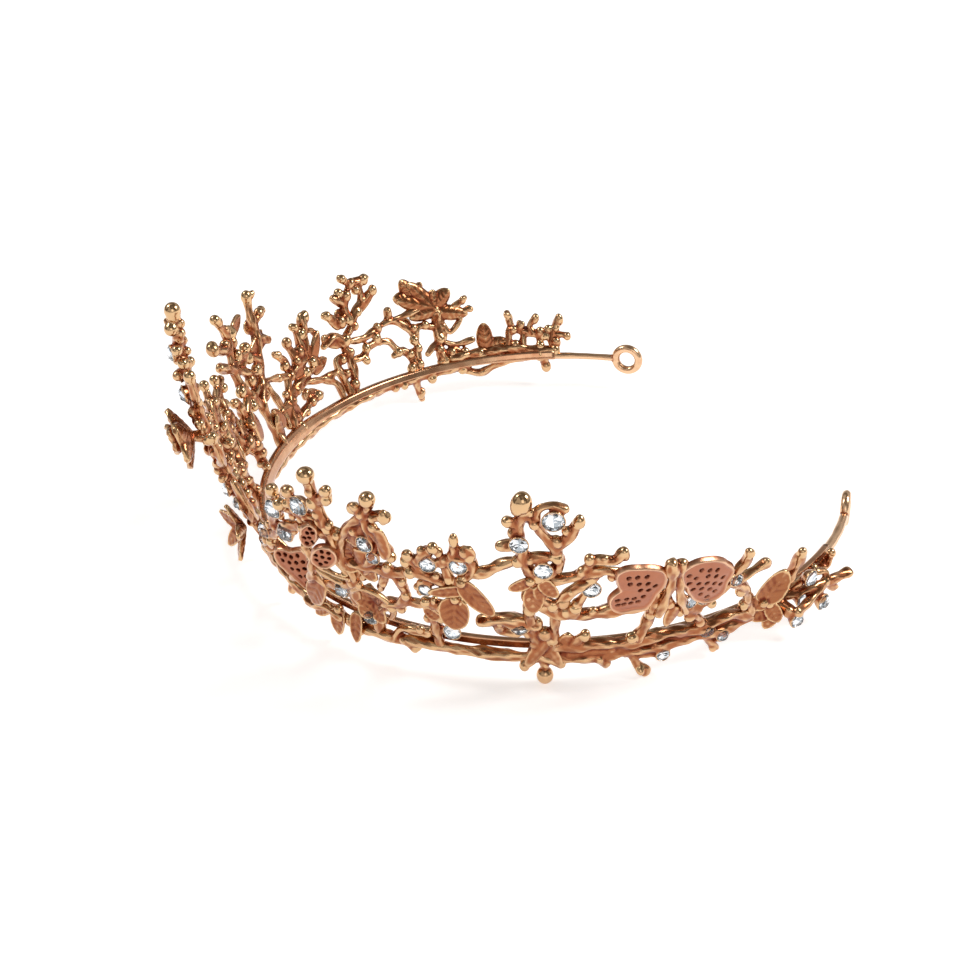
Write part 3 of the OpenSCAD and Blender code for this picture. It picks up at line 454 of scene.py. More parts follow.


# Foil back: a mirror whose facets differ a little in tint and, as painted reflections, widely in darkness; it
# also has a faint painted glow.
def foilMaterial():
    m = bpy.data.materials.new("foil")
    m.use_nodes = True
    n, l = m.node_tree.nodes, m.node_tree.links
    b = n["Principled BSDF"]
    b.inputs["Metallic"].default_value = 1.0
    b.inputs["Roughness"].default_value = 0.06
    # A faint painted glow, though the foil is no lamp.
    b.inputs["Emission Color"].default_value = (0.9, 0.95, 1, 1)
    b.inputs["Emission Strength"].default_value = 0.04
    tone = n.new("ShaderNodeAttribute")
    tone.attribute_name = "facetPaintedReflection"
    ramp = n.new("ShaderNodeValToRGB")
    ramp.color_ramp.interpolation = "CONSTANT"
    # Facet darkness steps: painted reflections from near black to near white.
    steps = ((0.0, (0.03, 0.035, 0.04)), (0.16, (0.36, 0.40, 0.43)), (0.38, (0.74, 0.78, 0.82)),
             (0.55, (0.98, 0.99, 1.0)))
    ramp.color_ramp.elements[0].color = (*steps[0][1], 1)
    ramp.color_ramp.elements[1].position = steps[-1][0]
    ramp.color_ramp.elements[1].color = (*steps[-1][1], 1)
    for pos, c in steps[1:-1]:
        ramp.color_ramp.elements.new(pos).color = (*c, 1)
    l.new(tone.outputs["Fac"], ramp.inputs["Fac"])
    l.new(ramp.outputs["Color"], b.inputs["Base Color"])
    return m


crystal = glassMaterial()
foil = foilMaterial()
print("materials ready")

# Each casting: strokes are (points (u, z[, out]), first radius, last radius, out); beads are
# (u, z, out, radius, tall); stones are (u, z, out, diameter).
large, middle, small = 4.7, 3.9, 3.1
castings = dict(
    twig_rail_front=dict(strokes=[
        ([(-22, -2), (-17, -2.6), (-11, -1.8), (-5, -2.4), (0, -1.8), (6, -2.4), (12, -3), (17, -2.4),
          (22, -3)],
         1.2, 1.2, 0.8),
        ([(-12, -2), (-14, -6)], 1.1, 0.9, 0.8), ([(4, -2.2), (3, -5.5)], 1.1, 0.9, 0.8),
        ([(-20, -1), (-12, -3.2), (-3, -1.2), (8, -3.2), (21, -2)], 0.7, 0.7, 1.2)]),
    twig_rail_right=dict(strokes=[
        ([(21, -3), (26, -3), (31, -3), (36, -2.2), (42, -2), (48, -2), (54, -2.2),
          (60, -2.6)], 1.25, 1.15, 0.8),
        ([(33, -2.6), (35, -4.4)], 1.2, 1.1, 0.8), ([(31, -3), (33, 0.5), (38, 1.5)], 1, 1, 0.8),
        ([(22, -2), (30, -3.6), (40, -1.8), (50, -3), (60, -2)], 0.6, 0.6, 1.2)]),
    twig_rail_right_end=dict(strokes=[
        ([(60, -2.6), (66, -2.6), (72, -2), (78, -2.2), (84, -1.8), (90, -2.4), (96, -1.8)], 1.35, 1.3, 0.8),
        ([(60, 1), (66, 1.5), (72, 0.5), (78, 1.5), (85, 0.5), (91, 1.5), (96, -1)], 1.35, 1.3, 1),
        ([(63, 1.5), (64.5, 5)], 1.6, 0.6, 1), ([(67.5, -3), (68.5, -5.5)], 1.6, 0.6, 0.8),
        ([(73, -2.5), (74, -6), (75.5, -8.4)], 1, 1.1, 0.8), ([(72, -2.5), (77, -4.2)], 1, 0.8, 0.8),
        ([(86.5, -2.5), (89, -6.8)], 1, 0.9, 0.8),
        ([(61, -0.6), (70, -0.6), (80, 0), (92, -0.6)], 1, 1, 0.6)],
        stones=[(78.4, -4.2, 2, small), (86.6, -0.5, 2, middle), (89.8, -3.4, 2, small)]),
    twig_rail_left=dict(strokes=[
        ([(-21, -2), (-28, -2.6), (-35, -2.8), (-42, -3), (-49, -3), (-56, -2.6), (-63, -2), (-70, -1.8),
          (-77, -1.6)],
         1.3, 1.2, 0.4),
        ([(-33, -3), (-34, -8.2)], 1.2, 0.9, 0.8)]),
    twig_rail_left_end=dict(strokes=[
        ([(-77, -1.4), (-84, -1.2), (-90, -1.2), (-96, -1), (-101, -0.6)], 1.3, 1.4, 0.8),
        ([(-98, 2), (-104, 2.2), (-110, 2.4), (-116, 1.8), (-120.4, 1.4)], 1.5, 1.3, 0.2),
        ([(-84, -0.8), (-85.5, -1.8), (-87.5, -1.8)], 0.9, 0.8, 0.4),
        ([(-92.5, -0.8), (-92.5, -2.8)], 1.2, 1, 0.4),
        ([(-88.6, -1.5), (-89, -4), (-90, -8.4)], 1.1, 0.9, 0.6),
        ([(-98, -0.6), (-101, -2.4), (-104, -3.8), (-107, -2.2), (-110, -1), (-115, 0),
          (-121, 0.4)], 0.9, 1.2, 0.4),
        ([(-118.5, -0.5), (-119, -4.2)], 1.1, 1.3, 0.6),
        ([(-104, 1.5), (-109, 2.2), (-114, 1.6), (-119, 1)], 1.3, 0.9, 0.4)]),
    spray_centre_tall=dict(strokes=[
        ([(-6, 0), (-8, 8), (-10.5, 16), (-9, 24), (-10.5, 32), (-10, 40), (-9.4, 48), (-10.4, 56),
          (-10, 62.6)],
         1.4, 1, 0.5),
        ([(-8, 8), (-3.4, 12), (-2, 18), (-3, 23)], 1.1, 0.9, 0.5),
        ([(-9, 24), (-5, 28), (-4, 34)], 1, 0.9, 0.5), ([(-10, 40), (-7, 44), (-6.4, 49)], 1, 0.9, 0.5),
        ([(-10.5, 16), (-15, 20), (-17, 27)], 1.1, 0.9, 0.3),
        ([(-10.5, 32), (-14.6, 37), (-15.4, 42.6)], 1, 0.9, 0.3),
        ([(-9.4, 48), (-12.6, 52), (-13, 56)], 1, 0.9, 0.3),
        ([(-6, 3), (-1, 6), (3, 9), (7, 15)], 1.1, 1, 0.8), ([(-7, 4), (-13, 8), (-18, 13)], 1.1, 0.9, 0.3)],
        beads=[(-10, 64.6, 0.5, 2, 1.05), (-9.6, 60.4, 1.6, 1.7, 1), (-6.3, 50.2, 0.6, 1.5, 1.1),
               (-4, 35.2, 0.6, 1.4, 1.1), (-15.6, 43.8, 0.4, 1.5, 1.1), (-13.1, 57.2, 0.4, 1.4, 1.1),
               (-17.2, 28.2, 0.4, 1.4, 1.1), (-18.6, 14, 0.4, 1.3, 1.1), (-8, 56, 1.6, 1.3, 1),
               (-11.4, 51, 1.5, 1.2, 1), (-8.2, 36, 1.6, 1.3, 1), (-11.6, 28, 1.5, 1.3, 1)],
        stones=[(-10, 54, 2.6, middle), (-10.6, 47.6, 2.2, small), (-9.4, 43.6, 2.6, middle),
                (-10.4, 15.6, 2.6, middle), (-15.4, 37.6, 2, small), (-2.6, 17.6, 2.2, small)]),
    spray_centre_left=dict(strokes=[
        ([(-24, 0), (-24, 8), (-26, 16), (-25, 23), (-27, 30)], 1.3, 1, 0.3),
        ([(-24, 8), (-20, 14), (-21, 22), (-19, 28)], 1.1, 0.9, 0.3),
        ([(-26, 16), (-31, 20), (-33, 27)], 1.1, 0.9, 0.3),
        ([(-36, 0), (-35, 7), (-31, 13), (-31, 20)], 1.2, 1, 0.3),
        ([(-35, 7), (-38.5, 12), (-38, 19)], 1.1, 0.9, 0.3),
        ([(-25, 23), (-31, 26), (-36, 27)], 1, 0.9, 0.3)],
        beads=[(-27.4, 31.6, 0.4, 1.4, 1.1), (-33.4, 28.6, 0.4, 1.4, 1.1)],
        stones=[(-34, 18, 2, middle)]),
    spray_left_tall=dict(strokes=[
        ([(-46, 0), (-46.5, 6), (-46, 12), (-49, 17), (-51, 22), (-53, 28), (-53, 33),
          (-53.6, 37.5)], 1.35, 1.1, 0.3),
        ([(-46, 12), (-43, 18), (-42, 24), (-43, 30), (-44, 33.5)], 1.2, 1, 0.3),
        ([(-43, 30), (-39, 33), (-38, 34.6)], 1, 1.2, 0.3), ([(-44, 33.5), (-42.4, 38.4)], 1, 1, 0.3),
        ([(-53, 31), (-56, 32.6)], 1, 1.1, 0.3), ([(-51, 22), (-47, 26), (-43, 26)], 1.2, 1, 0.3),
        ([(-49, 17), (-44, 16)], 1.1, 1.1, 0.3), ([(-50.5, 15), (-51.5, 8), (-51, 3)], 0.9, 0.9, 0.3),
        ([(-49, 17), (-53, 15.5), (-57.5, 13.5)], 0.9, 0.9, 0.3), ([(-43, 18), (-38, 13)], 1, 0.9, 0.3),
        ([(-53, 27), (-55.6, 25)], 1.4, 1.3, 0.3), ([(-48, 20), (-40, 27), (-37.6, 29)], 1, 1.2, 0.3)],
        beads=[(-53.7, 38.2, 0.3, 1.6, 1.25), (-56.4, 32.8, 0.3, 1.4, 1), (-45.2, 34.2, 0.3, 1.6, 1),
               (-42, 39.4, 0.3, 1.5, 1), (-37.6, 35, 0.3, 1.6, 1)],
        stones=[(-53, 30, 2, middle), (-46, 24, 2, middle)]),
    spray_left_fork=dict(strokes=[
        ([(-57.5, 13.5), (-60.5, 14.5), (-63.5, 15.5), (-65, 20), (-66, 25)], 1.1, 1.2, 0.3),
        ([(-63.5, 16), (-63.5, 23.5)], 1.1, 0.9, 0.3), ([(-61.5, 15), (-60, 21)], 1.1, 0.9, 0.3),
        ([(-58.5, 14.5), (-57.8, 17.5), (-56, 20.5)], 0.9, 0.9, 0.3),
        ([(-57, 13.6), (-55, 9), (-53, 4), (-52, 0)], 1.1, 1.1, 0.3),
        ([(-55, 9), (-61, 11), (-66.5, 12)], 1.1, 1, 0.3),
        ([(-71, 8), (-66, 8), (-61, 9.5), (-56, 8.5), (-51, 7.5)], 0.9, 0.9, 0.3),
        ([(-64, 5), (-59, 4), (-54, 2.5)], 0.9, 1, 0.3), ([(-69.5, 0), (-69, 5), (-66, 8)], 1, 0.9, 0.3),
        ([(-53.5, 7), (-53.6, 3), (-51, 1)], 0.8, 0.8, 0.3),
        ([(-65.5, 14.6), (-67.8, 17), (-67.6, 20.6), (-65.8, 21.6)], 0.7, 0.7, 0.3)],
        beads=[(-66.2, 25.4, 0.3, 1.5, 1), (-63, 24.2, 0.3, 1.2, 1)],
        stones=[(-64, 16, 2, middle), (-61, 6, 2, small)]),
    spray_left_high=dict(strokes=[
        ([(-72.5, 0), (-74, 5), (-74.3, 10), (-74, 14.5), (-76.5, 17), (-79, 21.5),
          (-83.5, 25.5)], 1.2, 0.9, 0.3),
        ([(-77, 18), (-76.5, 22), (-77, 25), (-79, 28.5), (-82.5, 29)], 1, 1, 0.3),
        ([(-79, 28.5), (-77.2, 31)], 0.9, 0.9, 0.3), ([(-76.5, 24), (-74.5, 26.5)], 1, 1, 0.3),
        ([(-76.5, 21), (-74, 20.5), (-71.5, 23)], 1.1, 0.9, 0.3),
        ([(-74, 14.5), (-72, 16.8), (-69, 15.5)], 1.4, 1.1, 0.3),
        ([(-71.8, 0), (-71.2, 5), (-70.8, 10.5), (-74, 11)], 1.1, 0.9, 0.3),
        ([(-81, 29), (-80.6, 24), (-79, 21.5)], 0.9, 0.8, 0.3)],
        beads=[(-82.2, 29, 0.3, 1.4, 1), (-76, 27.4, 0.3, 1.4, 1)],
        stones=[(-75.6, 21, 2, small)]),
    link_left_arcs=dict(strokes=[
        ([(-74.3, 9), (-77.5, 9), (-80, 11), (-84, 10.6), (-86, 7.5), (-88, 6), (-89.5, 1)], 0.9, 1, 0.3),
        ([(-75.5, 14), (-79, 13.5), (-82, 14.5), (-86, 15.5), (-89.5, 12), (-90.5, 7),
          (-88, 6)], 0.9, 0.9, 0.3),
        ([(-86, 15.5), (-93, 17)], 0.9, 0.9, 0.3), ([(-85, 15.5), (-85.8, 18.5)], 0.8, 0.9, 0.3),
        ([(-82, 14.5), (-82.3, 10.8)], 0.8, 0.8, 0.3), ([(-87, 7), (-84.8, 6.4)], 0.8, 0.8, 0.3),
        ([(-79, 10.5), (-78, 8)], 0.8, 0.8, 0.3)],
        stones=[(-89.5, 13, 2, small)]),
    flower_branch_left=dict(strokes=[
        ([(-96, 1), (-95.5, 6), (-95.8, 11), (-96, 14.6)], 1.3, 1.3, 0.3),
        ([(-95.8, 11), (-91.5, 12), (-90.5, 7), (-90, 1)], 0.9, 0.9, 0.3),
        ([(-99.6, 14), (-101, 12), (-98.5, 9), (-97, 11)], 0.9, 0.8, 0.3),
        ([(-100, 15.5), (-102.5, 17.5)], 0.9, 0.9, 0.3), ([(-101, 13.5), (-103.2, 14.6)], 0.8, 0.8, 0.3),
        ([(-103, 6), (-99, 5.5), (-95.5, 7), (-92.5, 4.5)], 0.8, 0.8, 0.3),
        ([(-101.5, 2), (-98, 4.4), (-95, 1.5)], 0.8, 0.8, 0.3)]),
    sprig_left_end=dict(strokes=[
        ([(-121, 1), (-120.3, 4.5), (-121.8, 9.8)], 0.9, 1, 0.3),
        ([(-120.8, 5.6), (-123.8, 5.4)], 0.8, 0.9, 0.3),
        ([(-120.3, 6.8), (-117.5, 5.6), (-114.5, 6.4), (-112, 8), (-111, 12)], 0.8, 0.9, 0.3),
        ([(-116.6, 6), (-115.6, 8), (-117, 10.6)], 0.8, 0.9, 0.3),
        ([(-113.8, 6.4), (-113.5, 9)], 0.8, 0.9, 0.3), ([(-114.2, 6.2), (-114, 1)], 0.9, 1.1, 0.3),
        ([(-117.6, 5.6), (-117.8, 1)], 0.8, 0.8, 0.3), ([(-111.3, 7.5), (-110.6, 2)], 0.8, 1, 0.3)],
        stones=[(-115, 6, 2, small)]),
    spray_front_right=dict(strokes=[
        ([(25.5, 0), (26, 7), (26.5, 14), (25.5, 21), (25.5, 29), (25, 36), (24.3, 42)], 1.35, 1, 0.8),
        ([(25.3, 31), (21, 31.5), (17, 31), (15.4, 34)], 1.1, 0.9, 0.8),
        ([(19.5, 31.5), (19.2, 36)], 1, 0.9, 0.8), ([(25, 37), (27.2, 40)], 1, 1, 0.8),
        ([(25.5, 28), (20, 27), (15, 24), (10, 18), (5, 15), (1, 9)], 1.2, 1.1, 0.8),
        ([(26.5, 13), (21, 9.5), (15, 6), (9, 3), (4, -1)], 1.2, 1.1, 0.8),
        ([(10, 18), (12, 24), (16, 30)], 1, 1, 0.8), ([(5, 15), (9, 9), (15, 6)], 1, 1, 0.3)],
        beads=[(24.2, 44.2, 1, 2.1, 0.92), (27.5, 41.6, 1, 1.3, 1.1), (27.4, 39.2, 1.2, 1.2, 1),
               (15.3, 34.8, 1, 1.6, 1), (19.1, 36.8, 1, 1.6, 1), (17.1, 32.4, 2, 1.6, 1)],
        stones=[(15.2, 29.9, 2.4, large), (21.6, 34.7, 2, large), (15.4, 22.8, 2, large),
                (7.1, 17.2, 2, middle), (23.7, 9.8, 2, middle), (28.4, 3.9, 3, middle), (3, 11, 2, small)]),
    spray_right_rise=dict(strokes=[
        ([(26, 12), (27.4, 16), (26.6, 21), (27.5, 27), (30, 33), (32.6, 37), (34.2, 40.6)], 1.1, 1, 0.8),
        ([(33.4, 37.4), (36.4, 38.4)], 1, 1, 0.8), ([(33, 37), (31.8, 39)], 1, 1, 0.8),
        ([(33.2, 36.5), (33.2, 31), (33, 26), (31, 22), (28, 21)], 1, 1.1, 0.8),
        ([(33.6, 35), (34.8, 31), (35.3, 27.8)], 1, 1.3, 0.8),
        ([(28, 21), (33, 21.5), (36.5, 22), (39.5, 24)], 1.2, 1.2, 0.8),
        ([(31.6, 21), (29.4, 17)], 1, 1.1, 0.8), ([(34, 20.5), (32.2, 15)], 1, 1.1, 0.8),
        ([(35.6, 21), (36.6, 15.5), (35, 11), (31.5, 9), (29, 4), (28, -2)], 1.1, 1.2, 0.8),
        ([(36.2, 12.4), (40, 12.6), (44, 12)], 1, 1.1, 0.8)],
        beads=[(34.3, 42.4, 1, 1.9, 1), (31.5, 38.9, 1, 1.3, 1.1), (36.6, 38.4, 1, 1.5, 1)],
        stones=[(32.4, 29.4, 2, middle), (33.2, 25.6, 2, small)]),
    spray_right_low=dict(strokes=[
        ([(39.5, 24), (42, 22.5), (45, 20.5), (48, 19.5)], 1.2, 1.1, 0.8),
        ([(38.8, 28), (40, 25), (41, 22.8)], 1.1, 1, 0.8),
        ([(40.4, 27), (41.4, 29.5), (43, 31.6)], 1.2, 1.1, 0.8),
        ([(44, 28), (45.8, 30.4), (46.3, 34.8)], 1.1, 0.9, 0.8),
        ([(45.8, 30.4), (48.2, 30), (48.4, 26), (46.4, 22.4), (45, 20.5)], 1.1, 1.1, 0.8),
        ([(44, 28), (44.6, 24), (45, 20.5)], 0.9, 0.9, 0.8),
        ([(39.4, 17), (39.8, 20), (42, 21)], 0.9, 0.9, 0.8),
        ([(39.6, 14), (42, 13.6), (45, 15), (46, 19.4)], 0.9, 0.9, 0.8),
        ([(41, 13), (40.4, 8), (40, 3), (40, -1.5)], 1.2, 1.1, 0.8)],
        beads=[(38.8, 28.4, 1, 1.3, 1), (43, 31.8, 1, 1.3, 1), (46.3, 35, 1, 1.1, 1.3)],
        stones=[(42, 27.2, 2, middle), (46.6, 27.8, 2, middle), (40.7, 18.8, 2, small),
                (43.2, 4.8, 2, middle)]),
    link_right_upper=dict(strokes=[([(48.4, 25.6), (50.5, 26.4), (53, 29), (55.8, 30.5)], 1.1, 1.2, 0.8)]),
    link_right_lower=dict(strokes=[
        ([(48.5, 9.5), (51, 10.5), (53.5, 10.5), (57, 9.5)], 1.5, 1.5, 0.8),
        ([(51.2, 9.5), (51.4, 6.6), (54, 6)], 1.2, 1, 0.8)]),
    spray_right_tall=dict(strokes=[
        ([(56.6, -2), (57, 3), (56.4, 9), (56.2, 14), (56.8, 19), (57.2, 25), (55.8, 30), (55.8, 34),
          (55.4, 39), (56.2, 44)],
         1.3, 1.1, 0.8),
        ([(55.8, 30.5), (58, 31.4), (60.6, 31), (60.6, 28)], 1.2, 1.1, 0.8),
        ([(60.6, 31), (60.2, 34.5), (58.6, 38), (57.6, 41), (56.6, 43)], 1.1, 1, 0.8),
        ([(57.8, 40), (58, 44), (59.6, 45.4), (61.6, 44.4)], 0.9, 0.9, 0.6),
        ([(60.3, 33.5), (62, 36.6), (63.3, 40.4)], 1.1, 1.1, 0.8), ([(55.6, 40.4), (54, 41.4)], 1, 1.1, 0.8),
        ([(55.6, 35), (53, 34.4)], 1, 1.1, 0.8),
        ([(57.4, 19), (59.6, 16), (60, 11), (59.8, 5), (58.6, -2)], 1.1, 1.2, 0.8),
        ([(60.6, 28), (59.2, 25.5), (57.2, 24.5)], 1, 1, 0.8)],
        beads=[(56.1, 46.4, 1, 2.2, 1.16), (63.5, 41, 1, 1.4, 1), (53.9, 41.3, 1, 1.2, 1),
               (52.8, 34.4, 1, 1.2, 1)],
        stones=[(60.1, 42.2, 2.4, large), (55.5, 36.1, 3, middle), (58.6, 28.3, 2.6, middle),
                (54.5, 8.8, 2, middle)]),
    branch_right_upper=dict(strokes=[
        ([(58.6, 24.4), (61.5, 24.6), (63.6, 25.6), (65, 28.6), (66, 30), (68.6, 29.2),
          (69.7, 31.2)], 1.1, 1, 0.8),
        ([(63.6, 25.6), (66.5, 26.6), (69, 25.6), (70.5, 24.5)], 1.1, 1, 0.8),
        ([(66, 26.6), (65.8, 24.4), (62.6, 20.6), (60.4, 16.4)], 1.1, 1.2, 0.8)],
        beads=[(69.8, 31.6, 1, 1.15, 1)]),
    branch_right_lower=dict(strokes=[
        ([(58.5, 15.6), (61, 13.4), (64, 12.4), (67, 13), (70, 13.6), (74, 13.4)], 1.3, 1.4, 0.8),
        ([(62.6, 13.6), (63.6, 16.4)], 1.4, 1.2, 0.8)],
        stones=[(65.4, 21.5, 2, middle)]),
    butterfly_right_legs=dict(strokes=[
        ([(75.6, 17), (75.2, 10), (74.6, 5), (73, 0)], 1.1, 1.4, 0.8),
        ([(76.8, 17), (78.4, 12), (81.2, 9), (84, 5), (86.4, 0)], 1, 1.1, 0.8),
        ([(81.2, 9), (84.4, 10), (88, 14.6)], 1, 1, 0.8), ([(80, 14), (82, 10.4)], 0.9, 0.9, 0.8)],
        stones=[(81.2, 12.4, 2, small), (83.6, 12.4, 2, small)]),
    sprig_right_mid=dict(strokes=[
        ([(88, 14.6), (89, 18), (90, 20), (90.2, 22.6)], 1.1, 1, 0.8),
        ([(89, 14), (92, 15.6), (94.6, 16.9)], 1, 1.1, 0.8),
        ([(89, 14), (91.6, 11), (93.4, 7), (95, 3), (96.4, -1.4)], 1.1, 1.2, 0.8)],
        beads=[(90.2, 22.8, 1, 1.25, 1)],
        stones=[(88.7, 15.8, 2, small)]),
    sprig_right_end=dict(strokes=[
        ([(96, -1.4), (100, 1), (104, 0), (109, 0.6), (114, 0), (119, 0.4)], 1.0, 0.9, 0.8),
        ([(102, 1), (103.6, 6), (103.6, 12.6)], 1.5, 1.1, 0.8),
        ([(114, 0.4, 1), (117, -0.7, 2), (117.6, 1.8, 2)], 1.0, 1.1, 0),
        ([(103, -0.6, 1.5), (107.6, -0.2, 4), (111.6, 0.1, 6), (116.7, -0.5, 8)], 0.9, 1.15, 0),
        ([(111.6, 0.1, 6), (113.9, -2.6, 6.5)], 0.85, 1.1, 0),
        ([(111.6, 0.1, 6), (112.2, 2.2, 4.4), (110.6, 3, 3)], 0.75, 0.75, 0),
        ([(111.6, 0.1, 6), (107.8, -1.7, 6), (103.2, -2, 7)], 0.8, 1.2, 0),
        ([(102, -0.6, 1.6), (102.6, -2.2, 5)], 1.3, 1.7, 0),
        ([(109.8, -0.8, 6), (110.2, -3.4, 6.4)], 0.8, 0.8, 0),
        ([(105.4, 0, 2), (106.8, 3.2, 2.6)], 0.9, 0.8, 0)],
        stones=[(107.2, 4.2, 4, middle), (106.4, -1.9, 4.4, small), (110.2, -4.1, 7, middle),
                (103.4, -4.4, 6.6, middle)]),
)

# Small leaves cast with the twigs: (u, z, out, lean, spin, length, width)
castLeaves = dict(
    spray_left_tall=[(-50, 25, 0.3, 12, 65, 8, 3.4), (-49.7, 25.8, 0.3, 12, 104, 7, 3),
                     (-40.1, 6.4, 0.3, 12, -7, 9, 4), (-37.1, 6.2, 0.3, 12, -60, 7, 3.4),
                     (-46, 33, 0.3, 12, 70, 7, 3.6)],
    spray_left_fork=[(-63.9, 11.1, 0.3, 12, 77, 6.9, 4), (-59.6, 6.9, 0.3, 12, 109, 6.6, 3.4),
                     (-56.1, 4.1, 0.3, 12, -69, 9, 5), (-50, 4.1, 0.3, 12, -31, 7.5, 4),
                     (-64.9, 13.4, 0.3, 12, 34, 9, 3.6), (-62, 12, 0.3, 12, -80, 5, 4)],
    spray_left_high=[(-70.7, 15.2, 0.3, 12, -31, 4, 3.4), (-73.7, 14.6, 0.3, 12, -67, 7, 4.2),
                     (-77.8, 20.4, 0.3, 12, 63, 10, 3.6), (-76.6, 23.8, 0.3, 12, -49, 4.3, 2.6),
                     (-74.3, 18.3, 0.3, 12, -36, 6.8, 3)],
    spray_centre_left=[(-33.8, 12, 0.3, 14, -12, 7, 4.6, 20), (-28, 9, 0.3, 10, 20, 6, 4.6, 20)],
    spray_right_rise=[(28.4, 26.8, 0.2, 12, 60, 6, 4.2), (29.8, 27.6, 1.0, 12, -31, 8, 4),
                      (30.2, 26.3, 0.6, 12, -172, 7, 4.6), (35, 35, 1.6, 12, -168, 8.2, 3.2)],
    spray_right_low=[(47.2, 29.6, 1.4, 12, -29, 4.6, 4.4)],
    spray_right_tall=[(58.6, 3.9, 1.6, 6, 147, 8.6, 3), (58.8, 1.9, 1.6, 6, -154, 6.9, 2.6)],
    twig_rail_right_end=[(62, -1.6, 1.2, 6, -84, 9, 5), (66.5, -0.4, 1.2, 10, -100, 8, 4.6),
                         (61.6, 0.4, 1.4, 12, -10, 5, 4), (67.5, 1, 1.4, 12, -167, 7.2, 3)],
    butterfly_right_legs=[(84, 8, 1.6, 12, 60, 7, 3), (79, 12, 1.6, 12, 160, 6, 3)],
)

